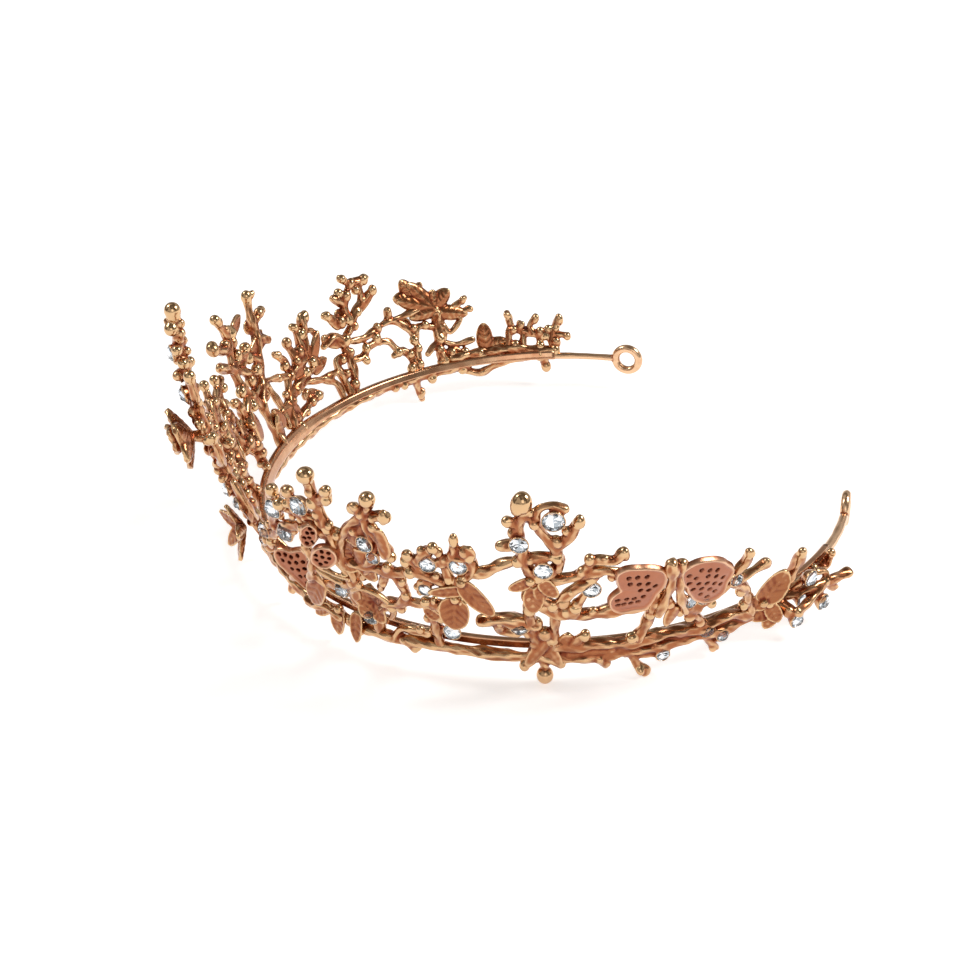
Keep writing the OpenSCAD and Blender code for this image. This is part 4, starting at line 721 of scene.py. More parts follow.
# Cast buds and knuckles along the twigs: (u, z, out, radius, tall)
buds = dict(
    spray_front_right=[
        (15.7, 35.8, 1.6, 1.2, 1), (19.7, 37.3, 1.6, 1.7, 1), (18.6, 33.4, 1.6, 1.4, 0.8),
        (24.4, 44.3, 1.6, 1.8, 0.9), (26.9, 41.7, 1.6, 1.1, 1.2), (27.2, 38.8, 1.6, 1.2, 1),
        (24.5, 40.1, 1.6, 1.3, 1), (24.3, 36.9, 1.6, 1.5, 1), (24.7, 34, 1.6, 1.3, 1),
        (21.8, 31.4, 1.6, 1.1, 1), (18.8, 28.9, 1.6, 1.1, 1), (15.5, 27, 1.6, 1, 1),
        (8.2, 21.2, 1.6, 1, 1), (9.8, 21, 1.6, 1.2, 1), (11.7, 21.5, 1.6, 1, 1), (20, 27, 1.6, 1.1, 1),
        (17.9, 22.8, 1.6, 1.1, 1), (24.5, 31.6, 1.6, 1.1, 1), (6.2, 13, 1.6, 1.4, 1),
        (20.5, 29.7, 1.6, 1.1, 1), (25.7, 29.9, 1.6, 1.3, 1), (27.3, 29.1, 1.6, 1.1, 1),
        (27, 31.3, 1.6, 1.1, 1)],
    spray_right_rise=[
        (34.4, 43, 1.6, 1.9, 1), (32.3, 39.6, 1.6, 1.2, 1.2), (36.5, 38.6, 1.6, 1.3, 1.3),
        (32.9, 38.2, 1.6, 1.3, 1), (34.7, 37.6, 1.6, 1.1, 1), (34.4, 34.9, 1.6, 1.3, 1),
        (36.8, 25.8, 1.6, 1.4, 1), (38.4, 26.5, 1.6, 1.3, 1), (35, 23.8, 1.6, 1.4, 1),
        (33.3, 17.2, 1.6, 1, 1), (26, 16, 1.6, 1.4, 1), (26.9, 14.3, 1.6, 1.4, 1),
        (24.1, 7.7, 1.6, 1.4, 1), (28, 13.9, 1.6, 1.2, 1), (20.4, 1.5, 1.6, 1.4, 1),
        (21.8, 0.3, 1.6, 1.4, 1), (33.2, 8.9, 1.6, 1.4, 1), (35.1, 7.7, 1.6, 1.3, 1),
        (32.9, 2.8, 1.6, 1.5, 1), (35.8, 5.9, 1.6, 1.3, 1), (30.7, 32, 1.6, 1.1, 1),
        (38.8, 23.5, 1.6, 1.6, 1), (37.1, 19.6, 1.6, 1.2, 1), (36.8, 14.9, 1.6, 1.4, 1),
        (39.3, 18.9, 1.6, 1, 1)],
    spray_right_low=[
        (39, 28.7, 1.4, 1.2, 1), (41.3, 30.7, 1.4, 1.2, 1), (43.1, 32.1, 1.4, 1.4, 1),
        (44.1, 30.7, 1.4, 1.2, 1), (46.4, 35, 1.4, 1.2, 1.4), (47.7, 32.1, 1.4, 1.5, 1),
        (48.4, 30.5, 1.4, 1.3, 1), (40.2, 27.6, 1.4, 1.1, 1), (44.6, 29, 1.4, 1.1, 1),
        (42.8, 23.5, 1.4, 1.1, 1), (44.7, 22.8, 1.4, 1.3, 1), (46.7, 23.4, 1.4, 1.5, 1),
        (39.8, 13.9, 1.4, 1.3, 1), (42.2, 13, 1.4, 1.4, 1), (39.4, 8, 1.4, 1.3, 1),
        (36.9, 2.4, 1.4, 1.2, 1), (46.4, 4.5, 1.4, 1.5, 1.2), (46.1, 16.7, 1.4, 1.5, 1),
        (41.4, 15.9, 1.4, 1, 1), (42.6, 8.5, 1.4, 1.4, 1), (46.7, 9.8, 1.4, 1.1, 1),
        (39.9, 3, 1.4, 1.2, 1)],
    spray_right_tall=[
        (55.7, 46.1, 1.4, 2.1, 1.2), (54.1, 40.9, 1.4, 1, 1), (57, 44, 1.4, 1.2, 1),
        (57.6, 40.8, 1.4, 1.4, 1), (59, 44.3, 1.4, 1, 1), (61.2, 44.2, 1.4, 1, 1),
        (63.6, 41.3, 1.4, 1.3, 1.2), (61.7, 39, 1.4, 1.2, 1), (60.5, 36, 1.4, 1.5, 1),
        (54, 38.2, 1.4, 1.1, 1), (53.2, 34.7, 1.4, 1.1, 1), (60.4, 31.4, 1.4, 1.5, 1),
        (56.8, 30.8, 1.4, 1.4, 1), (55, 30.2, 1.4, 1.5, 1), (57.8, 25.4, 1.4, 1.5, 1),
        (56.2, 19.6, 1.4, 1.8, 1), (56.3, 14.8, 1.4, 1.7, 1), (59.8, 16.2, 1.4, 1.5, 1),
        (61.4, 17.5, 1.4, 1.6, 1), (63.1, 15.3, 1.4, 1.6, 1), (58.4, 6.2, 1.4, 1.9, 1),
        (56.9, 3.1, 1.4, 1.6, 1), (59.7, 3.9, 1.4, 1.6, 1), (51.5, 10.1, 1.4, 1.3, 1),
        (53.2, 12.5, 1.4, 1.1, 1), (55.4, 6.1, 1.4, 1.2, 1)],
    branch_right_upper=[
        (65, 30.2, 1.2, 1.4, 1), (69.9, 31.1, 1.2, 1.2, 1.3), (64, 26.8, 1.2, 1.3, 1),
        (66.5, 25.8, 1.2, 1.1, 1), (68.3, 24.5, 1.2, 1.2, 1), (65.4, 24.1, 1.2, 1.3, 1),
        (67.1, 29.9, 1.2, 1.1, 1)],
    branch_right_lower=[
        (61.8, 13.9, 1.2, 1.4, 1), (63.4, 16.5, 1.2, 1.3, 1), (65.8, 13.5, 1.2, 1.2, 1),
        (62.6, 20.6, 1.2, 1.3, 1)],
    butterfly_right_legs=[
        (75.7, 14.2, 1.6, 1.4, 1), (75, 10.3, 1.6, 1.4, 1), (72.7, 2.5, 1.6, 1.6, 1),
        (73, 0.5, 1.6, 1.1, 1), (77.9, 13, 1.6, 1.4, 1), (80.1, 9.2, 1.6, 1.3, 1),
        (82.3, 6.4, 1.6, 1.4, 1), (84.7, 3.2, 1.6, 1.4, 1), (85.7, 9.2, 1.6, 1.3, 1),
        (81.1, 13.6, 1.6, 1.1, 1)],
    sprig_right_mid=[
        (90.1, 23.1, 1.2, 1.2, 1.2), (94.5, 17.2, 1.2, 1.1, 1), (89.3, 18.5, 1.2, 1.1, 1),
        (91.2, 9.7, 1.2, 1.4, 1), (93.5, 3.6, 1.2, 1.4, 1), (95.7, -1.7, 1.2, 1.4, 1)],
    twig_rail_right_end=[
        (77.2, -1.6, 1.2, 1.5, 1), (88.6, 0.6, 1.2, 1.7, 1), (64.9, 4.8, 1.2, 1.4, 1),
        (68.6, -4.3, 1.2, 1.3, 1.2), (69.3, -0.6, 1.2, 1.7, 1), (74.5, -7.2, 1.2, 1.3, 1.6),
        (88.3, -6.6, 1.2, 1.1, 1.2)],
    twig_rail_right=[(35.3, -3.9, 0.8, 1.4, 0.8), (23.5, -4.7, 1, 1.2, 1)],
    sprig_right_end=[
        (103.6, 13.7, 1, 1.3, 1.2), (104, 5, 1, 1.4, 1), (117.5, 2.9, 2, 1.3, 1), (111.6, 0.1, 6, 1.3, 1),
        (113.9, -2.6, 6.5, 1.2, 1), (103.2, -2, 7, 1.4, 1.2)],
    spray_centre_left=[
        (-33.5, 15.7, 0.3, 1.5, 1), (-34.4, 12.9, 0.3, 1.5, 1), (-34.6, 9.8, 0.3, 1.5, 1),
        (-25.7, 18.5, 0.3, 1.5, 1), (-25.9, 14.7, 0.3, 1.5, 1), (-31.6, 19.1, 0.3, 1.5, 1),
        (-25.5, 21.8, 0.3, 1.4, 1), (-38.3, 17, 0.3, 1.4, 1), (-25.7, 25.5, 0.3, 1.5, 1),
        (-30.7, 8.9, 0.3, 1.4, 1.3), (-32.9, 22.2, 0.3, 1.5, 1)],
    spray_left_tall=[
        (-54.2, 38, 0.3, 1.3, 1.6), (-55.5, 32.6, 0.3, 1.7, 1), (-42.5, 38.5, 0.3, 1.6, 1),
        (-44, 35.3, 0.3, 1.5, 1), (-46, 33.4, 0.3, 2, 1), (-37.2, 34.4, 0.3, 2, 0.9),
        (-42.1, 32.1, 0.3, 1.7, 1), (-45.6, 30.3, 0.3, 1.8, 1), (-48.4, 27.8, 0.3, 1.8, 1),
        (-51.4, 29.3, 0.3, 1.7, 1), (-53.1, 31.6, 0.3, 1.7, 1), (-44.7, 27.4, 0.3, 1.8, 1),
        (-47.9, 24.7, 0.3, 1.8, 1), (-45.1, 23.1, 0.3, 1.8, 1), (-49.1, 20.5, 0.3, 1.8, 1),
        (-45.7, 19.3, 0.3, 1.8, 1), (-48.8, 16.1, 0.3, 1.6, 1), (-47.9, 13.6, 0.3, 1.6, 1),
        (-43.7, 16.7, 0.3, 1.7, 1), (-40.7, 19.4, 0.3, 1.7, 1), (-42.8, 14.5, 0.3, 1.8, 1),
        (-42.7, 11, 0.3, 1.6, 1), (-42, 8, 0.3, 1.7, 1), (-41.1, 5.1, 0.3, 1.8, 1),
        (-39, 2.5, 0.3, 1.8, 1), (-35.1, 25.2, 0.3, 1.6, 1), (-38.2, 21.8, 0.3, 1.5, 1)],
    spray_left_fork=[
        (-66.7, 25.2, 0.3, 1.5, 1.4), (-63.4, 23.8, 0.3, 1.4, 1), (-60.1, 21.4, 0.3, 1.7, 1),
        (-56.6, 20, 0.3, 1.4, 1), (-64.4, 21.6, 0.3, 1.7, 1), (-64.7, 18.3, 0.3, 1.9, 1),
        (-62.3, 17.6, 0.3, 1.9, 1), (-60.8, 15.6, 0.3, 1.7, 1), (-57.3, 16.5, 0.3, 1.5, 1),
        (-57.8, 13.4, 0.3, 1.6, 1), (-62.4, 11.9, 0.3, 1.6, 1), (-64.9, 13.4, 0.3, 1.6, 1),
        (-57.8, 9.4, 0.3, 1.5, 1), (-63, 5.1, 0.3, 1.6, 1), (-60.6, 4.4, 0.3, 1.5, 1),
        (-57.8, 3.2, 0.3, 1.4, 1), (-55.2, 7.5, 0.3, 1.5, 1), (-54.2, 3.6, 0.3, 1.7, 1),
        (-54.5, 0.5, 0.3, 1.9, 1), (-54.3, 14.9, 0.3, 1.3, 1), (-53.6, 10.5, 0.3, 1.2, 1)],
    spray_left_high=[
        (-77.4, 30.8, 0.3, 1.5, 0.8), (-79.1, 28.9, 0.3, 1.5, 1), (-82, 28.6, 0.3, 1.6, 1),
        (-83.5, 25.2, 0.3, 1.5, 1), (-79.8, 26.6, 0.3, 1.5, 1), (-77.1, 25.8, 0.3, 2, 1),
        (-75.4, 26, 0.3, 1.3, 1), (-76.3, 22.5, 0.3, 1.5, 1), (-74.7, 19.8, 0.3, 1.9, 1),
        (-76.6, 19.5, 0.3, 1.5, 1), (-71.9, 22.8, 0.3, 1.5, 1), (-79.1, 20.7, 0.3, 1.4, 1),
        (-77.6, 17.4, 0.3, 1.4, 1), (-74.6, 14.8, 0.3, 1.9, 1), (-74.8, 11.3, 0.3, 1.5, 1),
        (-72.3, 10.3, 0.3, 1.6, 1), (-72.1, 6.5, 0.3, 1.6, 1), (-73.2, 3.2, 0.3, 1.9, 1),
        (-80.8, 23.4, 0.3, 1.2, 1)],
    link_left_arcs=[
        (-85.8, 17.6, 0.3, 1.2, 1.6), (-82.6, 14.9, 0.3, 1.5, 1), (-81.8, 12.4, 0.3, 1.6, 1),
        (-78.8, 10.8, 0.3, 1.5, 1), (-78, 7.8, 0.3, 1.4, 1), (-85.9, 7, 0.3, 1.7, 1),
        (-88.5, 5.6, 0.3, 1.7, 1), (-90.1, 9, 0.3, 1.7, 1), (-90.5, 12.2, 0.3, 1.5, 1),
        (-90.6, 6.6, 0.3, 1.5, 1), (-85.2, 2.3, 0.3, 1.7, 1), (-88.1, 1.9, 0.3, 1.7, 1)],
    flower_branch_left=[
        (-96, 7.9, 0.3, 1.7, 1), (-95.5, 4.8, 0.3, 1.7, 1), (-93.2, 12.2, 0.3, 1.5, 1),
        (-102, 17, 0.3, 1.2, 1.2), (-103.4, 14.3, 0.3, 1.1, 1), (-98.1, 3.6, 0.3, 1.5, 1),
        (-90.2, 2.4, 0.3, 1.5, 1), (-96.1, 1.9, 0.3, 1.7, 1), (-104.3, 2.4, 0.3, 1.7, 1),
        (-101, 3, 0.3, 1.6, 1)],
    sprig_left_end=[
        (-111.2, 11.2, 0.3, 1.3, 1.5), (-112.1, 7.3, 0.3, 1.5, 1), (-113.6, 8.2, 0.3, 1.3, 1.3),
        (-116.9, 9.9, 0.3, 1.3, 1.2), (-115.9, 7.5, 0.3, 1.5, 1), (-117.9, 6.3, 0.3, 1.6, 1),
        (-114.1, 5.5, 0.3, 1.6, 1), (-118.9, 5.2, 0.3, 1.4, 1), (-119.6, 7.3, 0.3, 1.3, 1),
        (-122, 9.7, 0.3, 1.4, 1.3), (-121.3, 7.6, 0.3, 1.3, 1), (-123.7, 5.1, 0.3, 1.3, 1),
        (-121.3, 3.5, 0.3, 1.6, 1), (-112.2, 3.2, 0.3, 1.7, 1), (-117.8, 2.8, 0.3, 1.6, 1),
        (-121.1, 1.4, 0.3, 1.7, 1)],
    twig_rail_left_end=[
        (-119, -3.4, 0.3, 1.7, 1.1), (-117.7, 0.2, 0.3, 1.7, 1), (-113.2, 0.5, 0.3, 1.7, 1),
        (-108.7, 0.7, 0.3, 1.7, 1), (-104.4, -3.6, 0.3, 1.3, 1), (-99.8, -1.9, 0.3, 1.4, 1),
        (-92.5, -2.5, 0.3, 1.6, 1), (-89.7, -6.4, 0.3, 1.3, 1.4), (-83.2, -2.2, 0.3, 1.4, 1),
        (-85.5, -2.2, 0.3, 1.3, 1)],
    spray_centre_tall=[
        (-10, 63.8, 0.7, 2, 1), (-11, 60, 0.1, 1.3, 1), (-9, 61.3, -1.4, 1.3, 1), (-10, 58, 0.8, 1.2, 1),
        (-11, 56.4, -1.1, 1.2, 1), (-9, 55.6, 1.1, 1.5, 1), (-10, 54, -0.8, 1.2, 1),
        (-11, 50.4, -0.9, 1.5, 1), (-9, 51.7, 1, 1.5, 1), (-10, 48.3, 1.1, 1.5, 1),
        (-11, 46.5, -0.2, 1.2, 1), (-9, 45.9, 1.3, 1.5, 1), (-10, 44.2, -0.4, 1.3, 1),
        (-11, 40.8, 1.5, 1.5, 1), (-9, 41.3, 0.3, 1.3, 1), (-10, 38.1, 2.1, 1.5, 1),
        (-11, 36.2, 0.8, 1.2, 1), (-9, 35.7, 2.6, 1.5, 1), (-10, 32.9, 1.5, 1.5, 1),
        (-11, 30.6, 3.6, 1.3, 1), (-9, 30.9, 1.6, 1.5, 1), (-10, 30.5, -0.5, 1.2, 1),
        (-11, 26.6, 2.5, 1.7, 1), (-9, 28, 0.1, 1.5, 1), (-10, 24, 0.1, 1.7, 1), (-11, 23.1, 2.7, 1.6, 1),
        (-9, 22, 3.3, 1.3, 1), (-10, 22, -0.5, 1.5, 1), (-11, 17.8, 0.1, 1.6, 1), (-9, 19.9, 2.2, 1.3, 1),
        (-10, 16.2, -0.9, 1.6, 1), (-11, 13.2, 1.3, 1.5, 1), (-9, 14.4, -1.7, 1.5, 1),
        (-10, 10.6, -1.4, 1.6, 1), (-11, 10.1, 1.4, 1.5, 1), (-9, 8.2, -0.3, 1.5, 1),
        (-10, 7.9, 1.8, 1.5, 1), (-11, 6.9, 4, 1.3, 1)],
)

# Nuggets scattered along the left front castings: how many, and their least and greatest radius
nuggets = dict(
    spray_centre_left=dict(count=70, radius=(0.9, 1.7)), spray_centre_tall=dict(count=24, radius=(0.9, 1.5)),
)

# Which stone set each casting's stones are shown as, and where the left-hand stones go
stoneSets = dict(
    stones_centre=[("spray_centre_tall", range(6))], stones_front_upper=[("spray_front_right", range(4))],
    stones_front_lower=[("spray_front_right", range(4, 7))],
    stones_right_rise=[("spray_right_rise", range(2))],
    stones_right_low=[("spray_right_low", range(4))], stones_right_tall=[("spray_right_tall", range(4))],
    stones_right_branch=[("branch_right_lower", range(1)), ("butterfly_right_legs", range(2)),
                         ("sprig_right_mid", range(1))],
    stones_right_end=[("twig_rail_right_end", range(3)), ("sprig_right_end", range(4))],
    stones_left=[("spray_left_tall", range(2)), ("spray_left_fork", range(1)), ("spray_left_high", range(1)),
                 ("link_left_arcs", range(1)), ("sprig_left_end", range(1)), ("spray_left_fork", range(1, 2)),
                 ("spray_centre_left", range(1))],
)
stoneLean = 8


# Gives a piece its material and its body, and hides the CAD nodes it stands for.
def finishPiece(obj, material, slot, *nodes):
    obj.data.materials.clear()
    obj.data.materials.append(material)
    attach(obj, "root")
    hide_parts(*nodes)
    return obj


# Points on the bowl for a stroke's (u, z[, out]) rows, all moved out by the same amount.
def strokePoints(pts, out):
    p = [(q[0], q[1], (q[2] if len(q) > 2 else 0) + out) for q in pts]
    return place(*np.array(p, float).T)


twigGrowth, budGrowth = 1.14, 0.9
allPaths = {name: np.vstack([smoothPath(strokePoints(p, out), 0.8) for p, _, _, out in design["strokes"]])
            for name, design in castings.items()}
everyPath = np.vstack(list(allPaths.values()))


seat = dict(touch=0.6, sink=0.4, reach=2.4)            # mm beyond the bud's own radius


# Pulls a bud in until it sits half sunk in the nearest twig of its casting, or drops one too far out.
def seated(centre, size, name):
    if np.linalg.norm(everyPath - centre, axis=1).min() < size + seat["touch"]:
        return centre
    gaps = np.linalg.norm(allPaths[name] - centre, axis=1)
    near, gap = allPaths[name][gaps.argmin()], gaps.min()
    return near + (centre - near) * (size + seat["sink"]) / gap if gap < size + seat["reach"] else None


for name, design in castings.items():
    parts, beads = [], []
    joints = np.vstack([strokePoints(p, out) for p, _, _, out in design["strokes"]])
    for pts, r0, r1, out in design["strokes"]:
        parts.append(twig(strokePoints(pts, out), r0 * twigGrowth, r1 * twigGrowth))
    settings = [(place(u, z, out), d / 2) for u, z, out, d in design.get("stones", [])]
    for u, z, out, r, tall in buds.get(name, []):
        size = r * budGrowth
        centre = seated(place(u, z, out - 0.2), size, name)
        if centre is None or any(np.linalg.norm(centre - c) < half + 0.7 * size for c, half in settings):
            continue
        lean = rng.normal(0, 0.35, 3) + (0, 0, 1)
        parts.append(ball(centre, size, lean, tall * rng.uniform(1.0, 1.3)))
        # About half the larger buds also get the bead polish and painted highlight.
        if r > 1.25 and rng.uniform() < 0.45:
            beads.append((centre, size))
    if name in nuggets:
        spec = nuggets[name]
        for centre in rng.choice(allPaths[name], spec["count"]):
            parts.append(ball(centre + rng.normal(0, 0.7, 3), rng.uniform(*spec["radius"]),
                              rng.normal(0, 1, 3), rng.uniform(1.0, 1.5)))
    for row in castLeaves.get(name, []):
        parts.append(petal(facing(*row[:5], *row[7:]), row[5], row[6], thick=0.7, veins=0.05, cupping=-0.2))
    for u, z, out, r, tall in design.get("beads", []):
        centre = place(u, z, out)
        parts.append(ball(centre, r, (0, 0, 1), tall))
        beads.append((centre, r * max(1, tall)))
    for u, z, out, d in design.get("stones", []):
        parts.append(cup(facing(u, z, out, stoneLean), d))
        back = place(u, z, out - 1.6)
        near = joints[np.argmin(np.linalg.norm(joints - back, axis=1))]
        parts.append(twig([back, near], 0.85, 0.9))
    obj = build(name + ".cast", parts)
    v, _ = cast(obj)
    markBeads(obj, v, beads)
    finishPiece(obj, castMetal, "cast_plate", name)
print("castings done:", len(castings))


# Brilliant stone: rings of points for table, crown break, girdle and pavilion; flat facets between.
def brilliant(spot, d):
    origin, x, y, n = spot
    r = d / 2

    def ring(radius, height, count, turn):
        a = 2 * np.pi * (np.arange(count) + turn) / count
        return origin + radius * (np.cos(a)[:, None] * x + np.sin(a)[:, None] * y) + height * n

    table, star = ring(0.56 * r, 0.56 * r, 8, 0), ring(0.80 * r, 0.33 * r, 8, 0.5)
    girdle, low = ring(1.04 * r, 0.06 * r, 16, 0), ring(1.04 * r, -0.02 * r, 16, 0)
    pav, tip = ring(0.55 * r, -0.18 * r, 8, 0.5), (origin - 0.28 * r * n)[None]
    verts = np.vstack([table, star, girdle, low, pav, tip])
    faces = [list(range(8))]
    for k in range(8):
        t, tn, s, sp = k, (k + 1) % 8, 8 + k, 8 + (k - 1) % 8
        g0, g1, g2 = 16 + 2 * k, 16 + 2 * k + 1, 16 + (2 * k + 2) % 16
        faces += [[t, s, tn], [t, sp, g0], [t, g0, s], [s, g0, g1], [s, g1, g2]]
        l0, l1, l2 = g0 + 16, g1 + 16, g2 + 16
        p, pp = 48 + k, 48 + (k - 1) % 8
        faces += [[g0, l0, l1, g1], [g1, l1, l2, g2], [l0, p, l1], [l1, p, l2], [l0, pp, p], [pp, 56, p]]
    return verts, faces


# One set of stones as a mesh: crystal facets above the girdle, foil facets below, each with a random tone
# that sets its painted reflection.
def stoneSet(name, spots):
    verts, faces, kinds, tone, base = [], [], [], [], 0
    for spot, d in spots:
        v, f = brilliant(spot, d)
        verts.append(v)
        for face in f:
            faces.append([i + base for i in face])
            back = all(i >= 32 for i in face)
            kinds.append(1 if back else 0)
            # A random tone per facet, which the foil turns into a painted reflection.
            tone.append(rng.uniform())
        base += len(v)
    mesh = bpy.data.meshes.new(name + ".cut")
    mesh.from_pydata((np.vstack(verts) * mm).tolist(), [], faces)
    mesh.update()
    mesh.attributes.new("facetPaintedReflection", "FLOAT", "FACE").data.foreach_set("value", tone)
    obj = bpy.data.objects.new(name + ".cut", mesh)
    bpy.context.scene.collection.objects.link(obj)
    obj.data.materials.append(crystal)
    obj.data.materials.append(foil)
    mesh.polygons.foreach_set("material_index", kinds)
    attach(obj, "root")
    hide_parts(name)
    return obj


for name, groups in stoneSets.items():
    spots = []
    for owner, which in groups:
        for k in which:
            u, z, out, d = castings[owner]["stones"][k]
            spots.append((facing(u, z, out, stoneLean, spin=rng.uniform(0, 45)), d))
    stoneSet(name, spots)
print("stones done")


# Wing: rays from the middle to a smooth outline; the face domes, the rim stands up as a cord, and
# each pit sinks as a smooth well. The back is the same outline, plain and thinner at the rim.
def wing(spot, outline, pits, thick=0.9, dome=0.7, rim=0.55, pitR=0.52, scallop=0.0):
    origin, x, y, n = spot
    o = np.asarray(outline, float)
    middle = o.mean(0)
    ang = np.unwrap(np.arctan2(*(o - middle).T[::-1]))
    if ang[-1] < ang[0]:
        ang, o = ang[::-1], o[::-1]
    dist = np.linalg.norm(o - middle, axis=1)
    phi = np.linspace(ang[0], ang[0] + 2 * np.pi, 220, endpoint=False)
    full = np.interp(phi, np.r_[ang - 2 * np.pi, ang, ang + 2 * np.pi], np.tile(dist, 3))
    kernel = np.hanning(15)
    full = np.convolve(np.r_[full[-20:], full, full[:20]], kernel / kernel.sum(), "same")[20:-20]
    full = full * (1 + scallop * np.abs(np.sin(phi * 17)))
    rho = np.r_[np.linspace(0.03, 0.9, 34), np.linspace(0.915, 1.0, 10)][:, None]
    xy = middle + (rho * full)[..., None] * np.stack([np.cos(phi), np.sin(phi)], -1)[None]
    edgeGap = (1 - rho) * full
    top = thick / 2 + dome * (1 - rho ** 2) + rim * np.exp(-((edgeGap - 0.55) / 0.42) ** 2)
    top = np.where(edgeGap < 0.35, top - (0.35 - edgeGap) ** 2 * 5.5, top)
    depth = np.zeros(xy.shape[:2])
    for px, py in pits:
        gap = np.hypot(xy[..., 0] - px, xy[..., 1] - py)
        depth = np.maximum(depth, np.clip((pitR - gap) / 0.2 + 0.5, 0, 1))
    top = top - depth * 0.9
    under = -thick / 2 + dome * (1 - rho[::-1] ** 2) + 0.25 * np.exp(-edgeGap[::-1] / 0.3)
    height = np.concatenate([top, under + 0 * top])
    flat = np.concatenate([xy, xy[::-1]])
    pts = origin + flat[..., :1] * x + flat[..., 1:] * y + height[..., None] * n
    mask = np.concatenate([depth, 0 * depth])
    # tone is a painted shade level: low along the rim for a painted highlight, raised in the pits for painted
    # shade, 0.5 on the back.
    tone = np.concatenate([0.5 - 0.45 * np.exp(-((edgeGap - 0.5) / 0.45) ** 2) + 0.3 * depth,
                           0.5 + 0 * depth])
    return closedGrid(pts), mask, tone


# Wings of one butterfly piece, joined; masks mark the pits, and the shade levels paint a highlight along each
# rim and shade in the pits.
def wingPiece(name, wings):
    parts, masks, wingShadeLevels = [], [], []
    for spot, outline, pits, more in wings:
        part, mask, tone = wing(spot, outline, pits, **more)
        parts.append(part)
        masks.append(np.r_[mask.ravel(), 0, 0])
        wingShadeLevels.append(np.r_[tone.ravel(), 0.5, 0.5])
    obj = build(name + ".wing", parts)
    obj.data.attributes.new("pit", "FLOAT", "POINT").data.foreach_set("value", np.concatenate(masks))
    # The wings' painted shade levels go into the same attribute the castings use.
    obj.data.attributes.new("paintedShadeLevel", "FLOAT", "POINT").data.foreach_set("value", np.concatenate(wingShadeLevels))
    obj.data.polygons.foreach_set("use_smooth", np.ones(len(obj.data.polygons), bool))
    return finishPiece(obj, wingMetal, "wing_satin", name)


# Outlines and pits in mm on each wing's own plane
wings = dict(
    upper=[(0.5, 3.9), (1.9, 2.9), (2.2, 0.6), (1.2, -1.9), (-0.4, -3.8), (-1.9, -3.6), (-2.6, -1.8),
           (-2.3, 0.7), (-0.9, 3.1)],
    upperPits=[(-0.4, 0.9), (0.8, 1), (-1.3, -0.7), (-0.1, -0.5), (0.4, 2.1), (-1, -2.3), (0.5, -1.7)],
    side=[(-2.6, 1.9), (-0.5, 3.5), (1.7, 3.4), (3, 1.9), (3.2, -0.4), (1.9, -2.4), (-0.3, -3.6),
          (-2.2, -3.2), (-3.5, -1.9), (-3.4, 0.2)],
    sidePits=[(-1.9, 0.6), (-0.4, 1.8), (1.1, 1.5), (-2, -0.9), (-0.4, 0.3), (1.1, 0), (-1.2, -2),
              (0.2, -1.3)],
    largeWing=[(-3.9, 3.4), (-3.2, 5.2), (-1, 5.7), (1, 5.3), (3, 6.1), (4.9, 6.3), (5.4, 4), (5.6, 0),
               (5.6, -4), (5.2, -7), (4, -6.6), (2, -4.8), (0, -2.8), (-2, -0.8), (-3.6, 1.4)],
    largePits=[(-2.2, 3.6), (-0.6, 3.8), (0.9, 3.4), (2.6, 4.1), (-1.5, 2), (0.3, 1.8), (2.1, 2.1),
               (3.8, 2.5), (0.7, 0), (2.3, 0), (3.9, 0.5), (2.5, -2), (4, -1.8), (3.9, -4)],
    a=[(-6.2, 7.7), (-4.3, 8.7), (-1, 8.3), (2.3, 7.6), (4.4, 6.5), (5.6, 3.5), (5.1, 0.1), (3.8, -2.1),
       (3, -4.8), (1.9, -7), (-1.3, -6.9), (-4.4, -7.2), (-6.4, -5.6), (-7.2, -1.8), (-6.2, 0.2), (-5, 1.3),
       (-5.9, 4.2)],
    aPits=[(-3.3, 5.2), (-1.4, 5.1), (0.7, 4.9), (-2.9, 3.3), (-0.9, 2.9), (1.1, 2.6), (-0.4, 0.8),
           (1.5, 0.3), (2.9, 1.3), (-1.5, -2), (0.5, -1.7), (-5.1, -2.2), (-3.6, -3.7), (-2.1, -3.6),
           (-0.5, -3.4), (-3.2, -1.9), (-4.8, -4)],
    b=[(-8.4, 7.2), (-6.7, 8.6), (-4.7, 9.3), (-2, 9), (1.1, 7.9), (3.5, 5.7), (5.6, 3.1), (5.6, 1.1),
       (4.8, -1.2), (4.7, -3.5), (4.4, -5.5), (2.8, -7), (0.3, -7.2), (-2.1, -5.8), (-4.5, -2.8), (-6.1, 0.6),
       (-7.7, 3.9)],
    bPits=[(-4.2, 3.6), (-1.3, 3.4), (0.8, 2.6), (-5.4, 2), (-3.1, 1.4), (-4, -0.5), (-2, -0.7), (-1.1, 1),
           (1.7, -3), (0.2, -4.6), (-1.8, -2.9), (0.8, 4.6), (-1.2, 5.2), (-3.3, 5.9), (0.9, 0.2), (2.8, 1.4),
           (0.1, -1.6), (2.7, -0.9), (-6, 4.8)],
)
wingPiece("butterfly_front_wings", [
    (facing(22.8, 27.7, 2.6, 12, 0, 24), wings["upper"], wings["upperPits"], dict(dome=0.5, pitR=0.42)),
    (facing(24.6, 22.4, 3, 12, 0, 24), wings["side"], wings["sidePits"], dict(dome=0.6, pitR=0.42))])
wingPiece("butterfly_front_large_wing", [
    (facing(11.6, 9.5, 2.4, 8, 0, 30), wings["largeWing"], wings["largePits"], dict(dome=0.8, pitR=0.46))])
wingPiece("butterfly_right_wing_a", [(facing(72.6, 20.4, 2, 20), wings["a"], wings["aPits"], {})])
wingPiece("butterfly_right_wing_b", [(facing(83.4, 18.4, 2, 20), wings["b"], wings["bPits"], {})])


# Builds, casts and finishes one piece; points inside the beads spheres get the bead polish and painted
# highlight.
def castPiece(name, parts, material, slot, beads=(), **more):
    obj = build(name + ".form", parts)
    v, _ = cast(obj, **more)
    markBeads(obj, v, beads)
    return finishPiece(obj, material, slot, name)


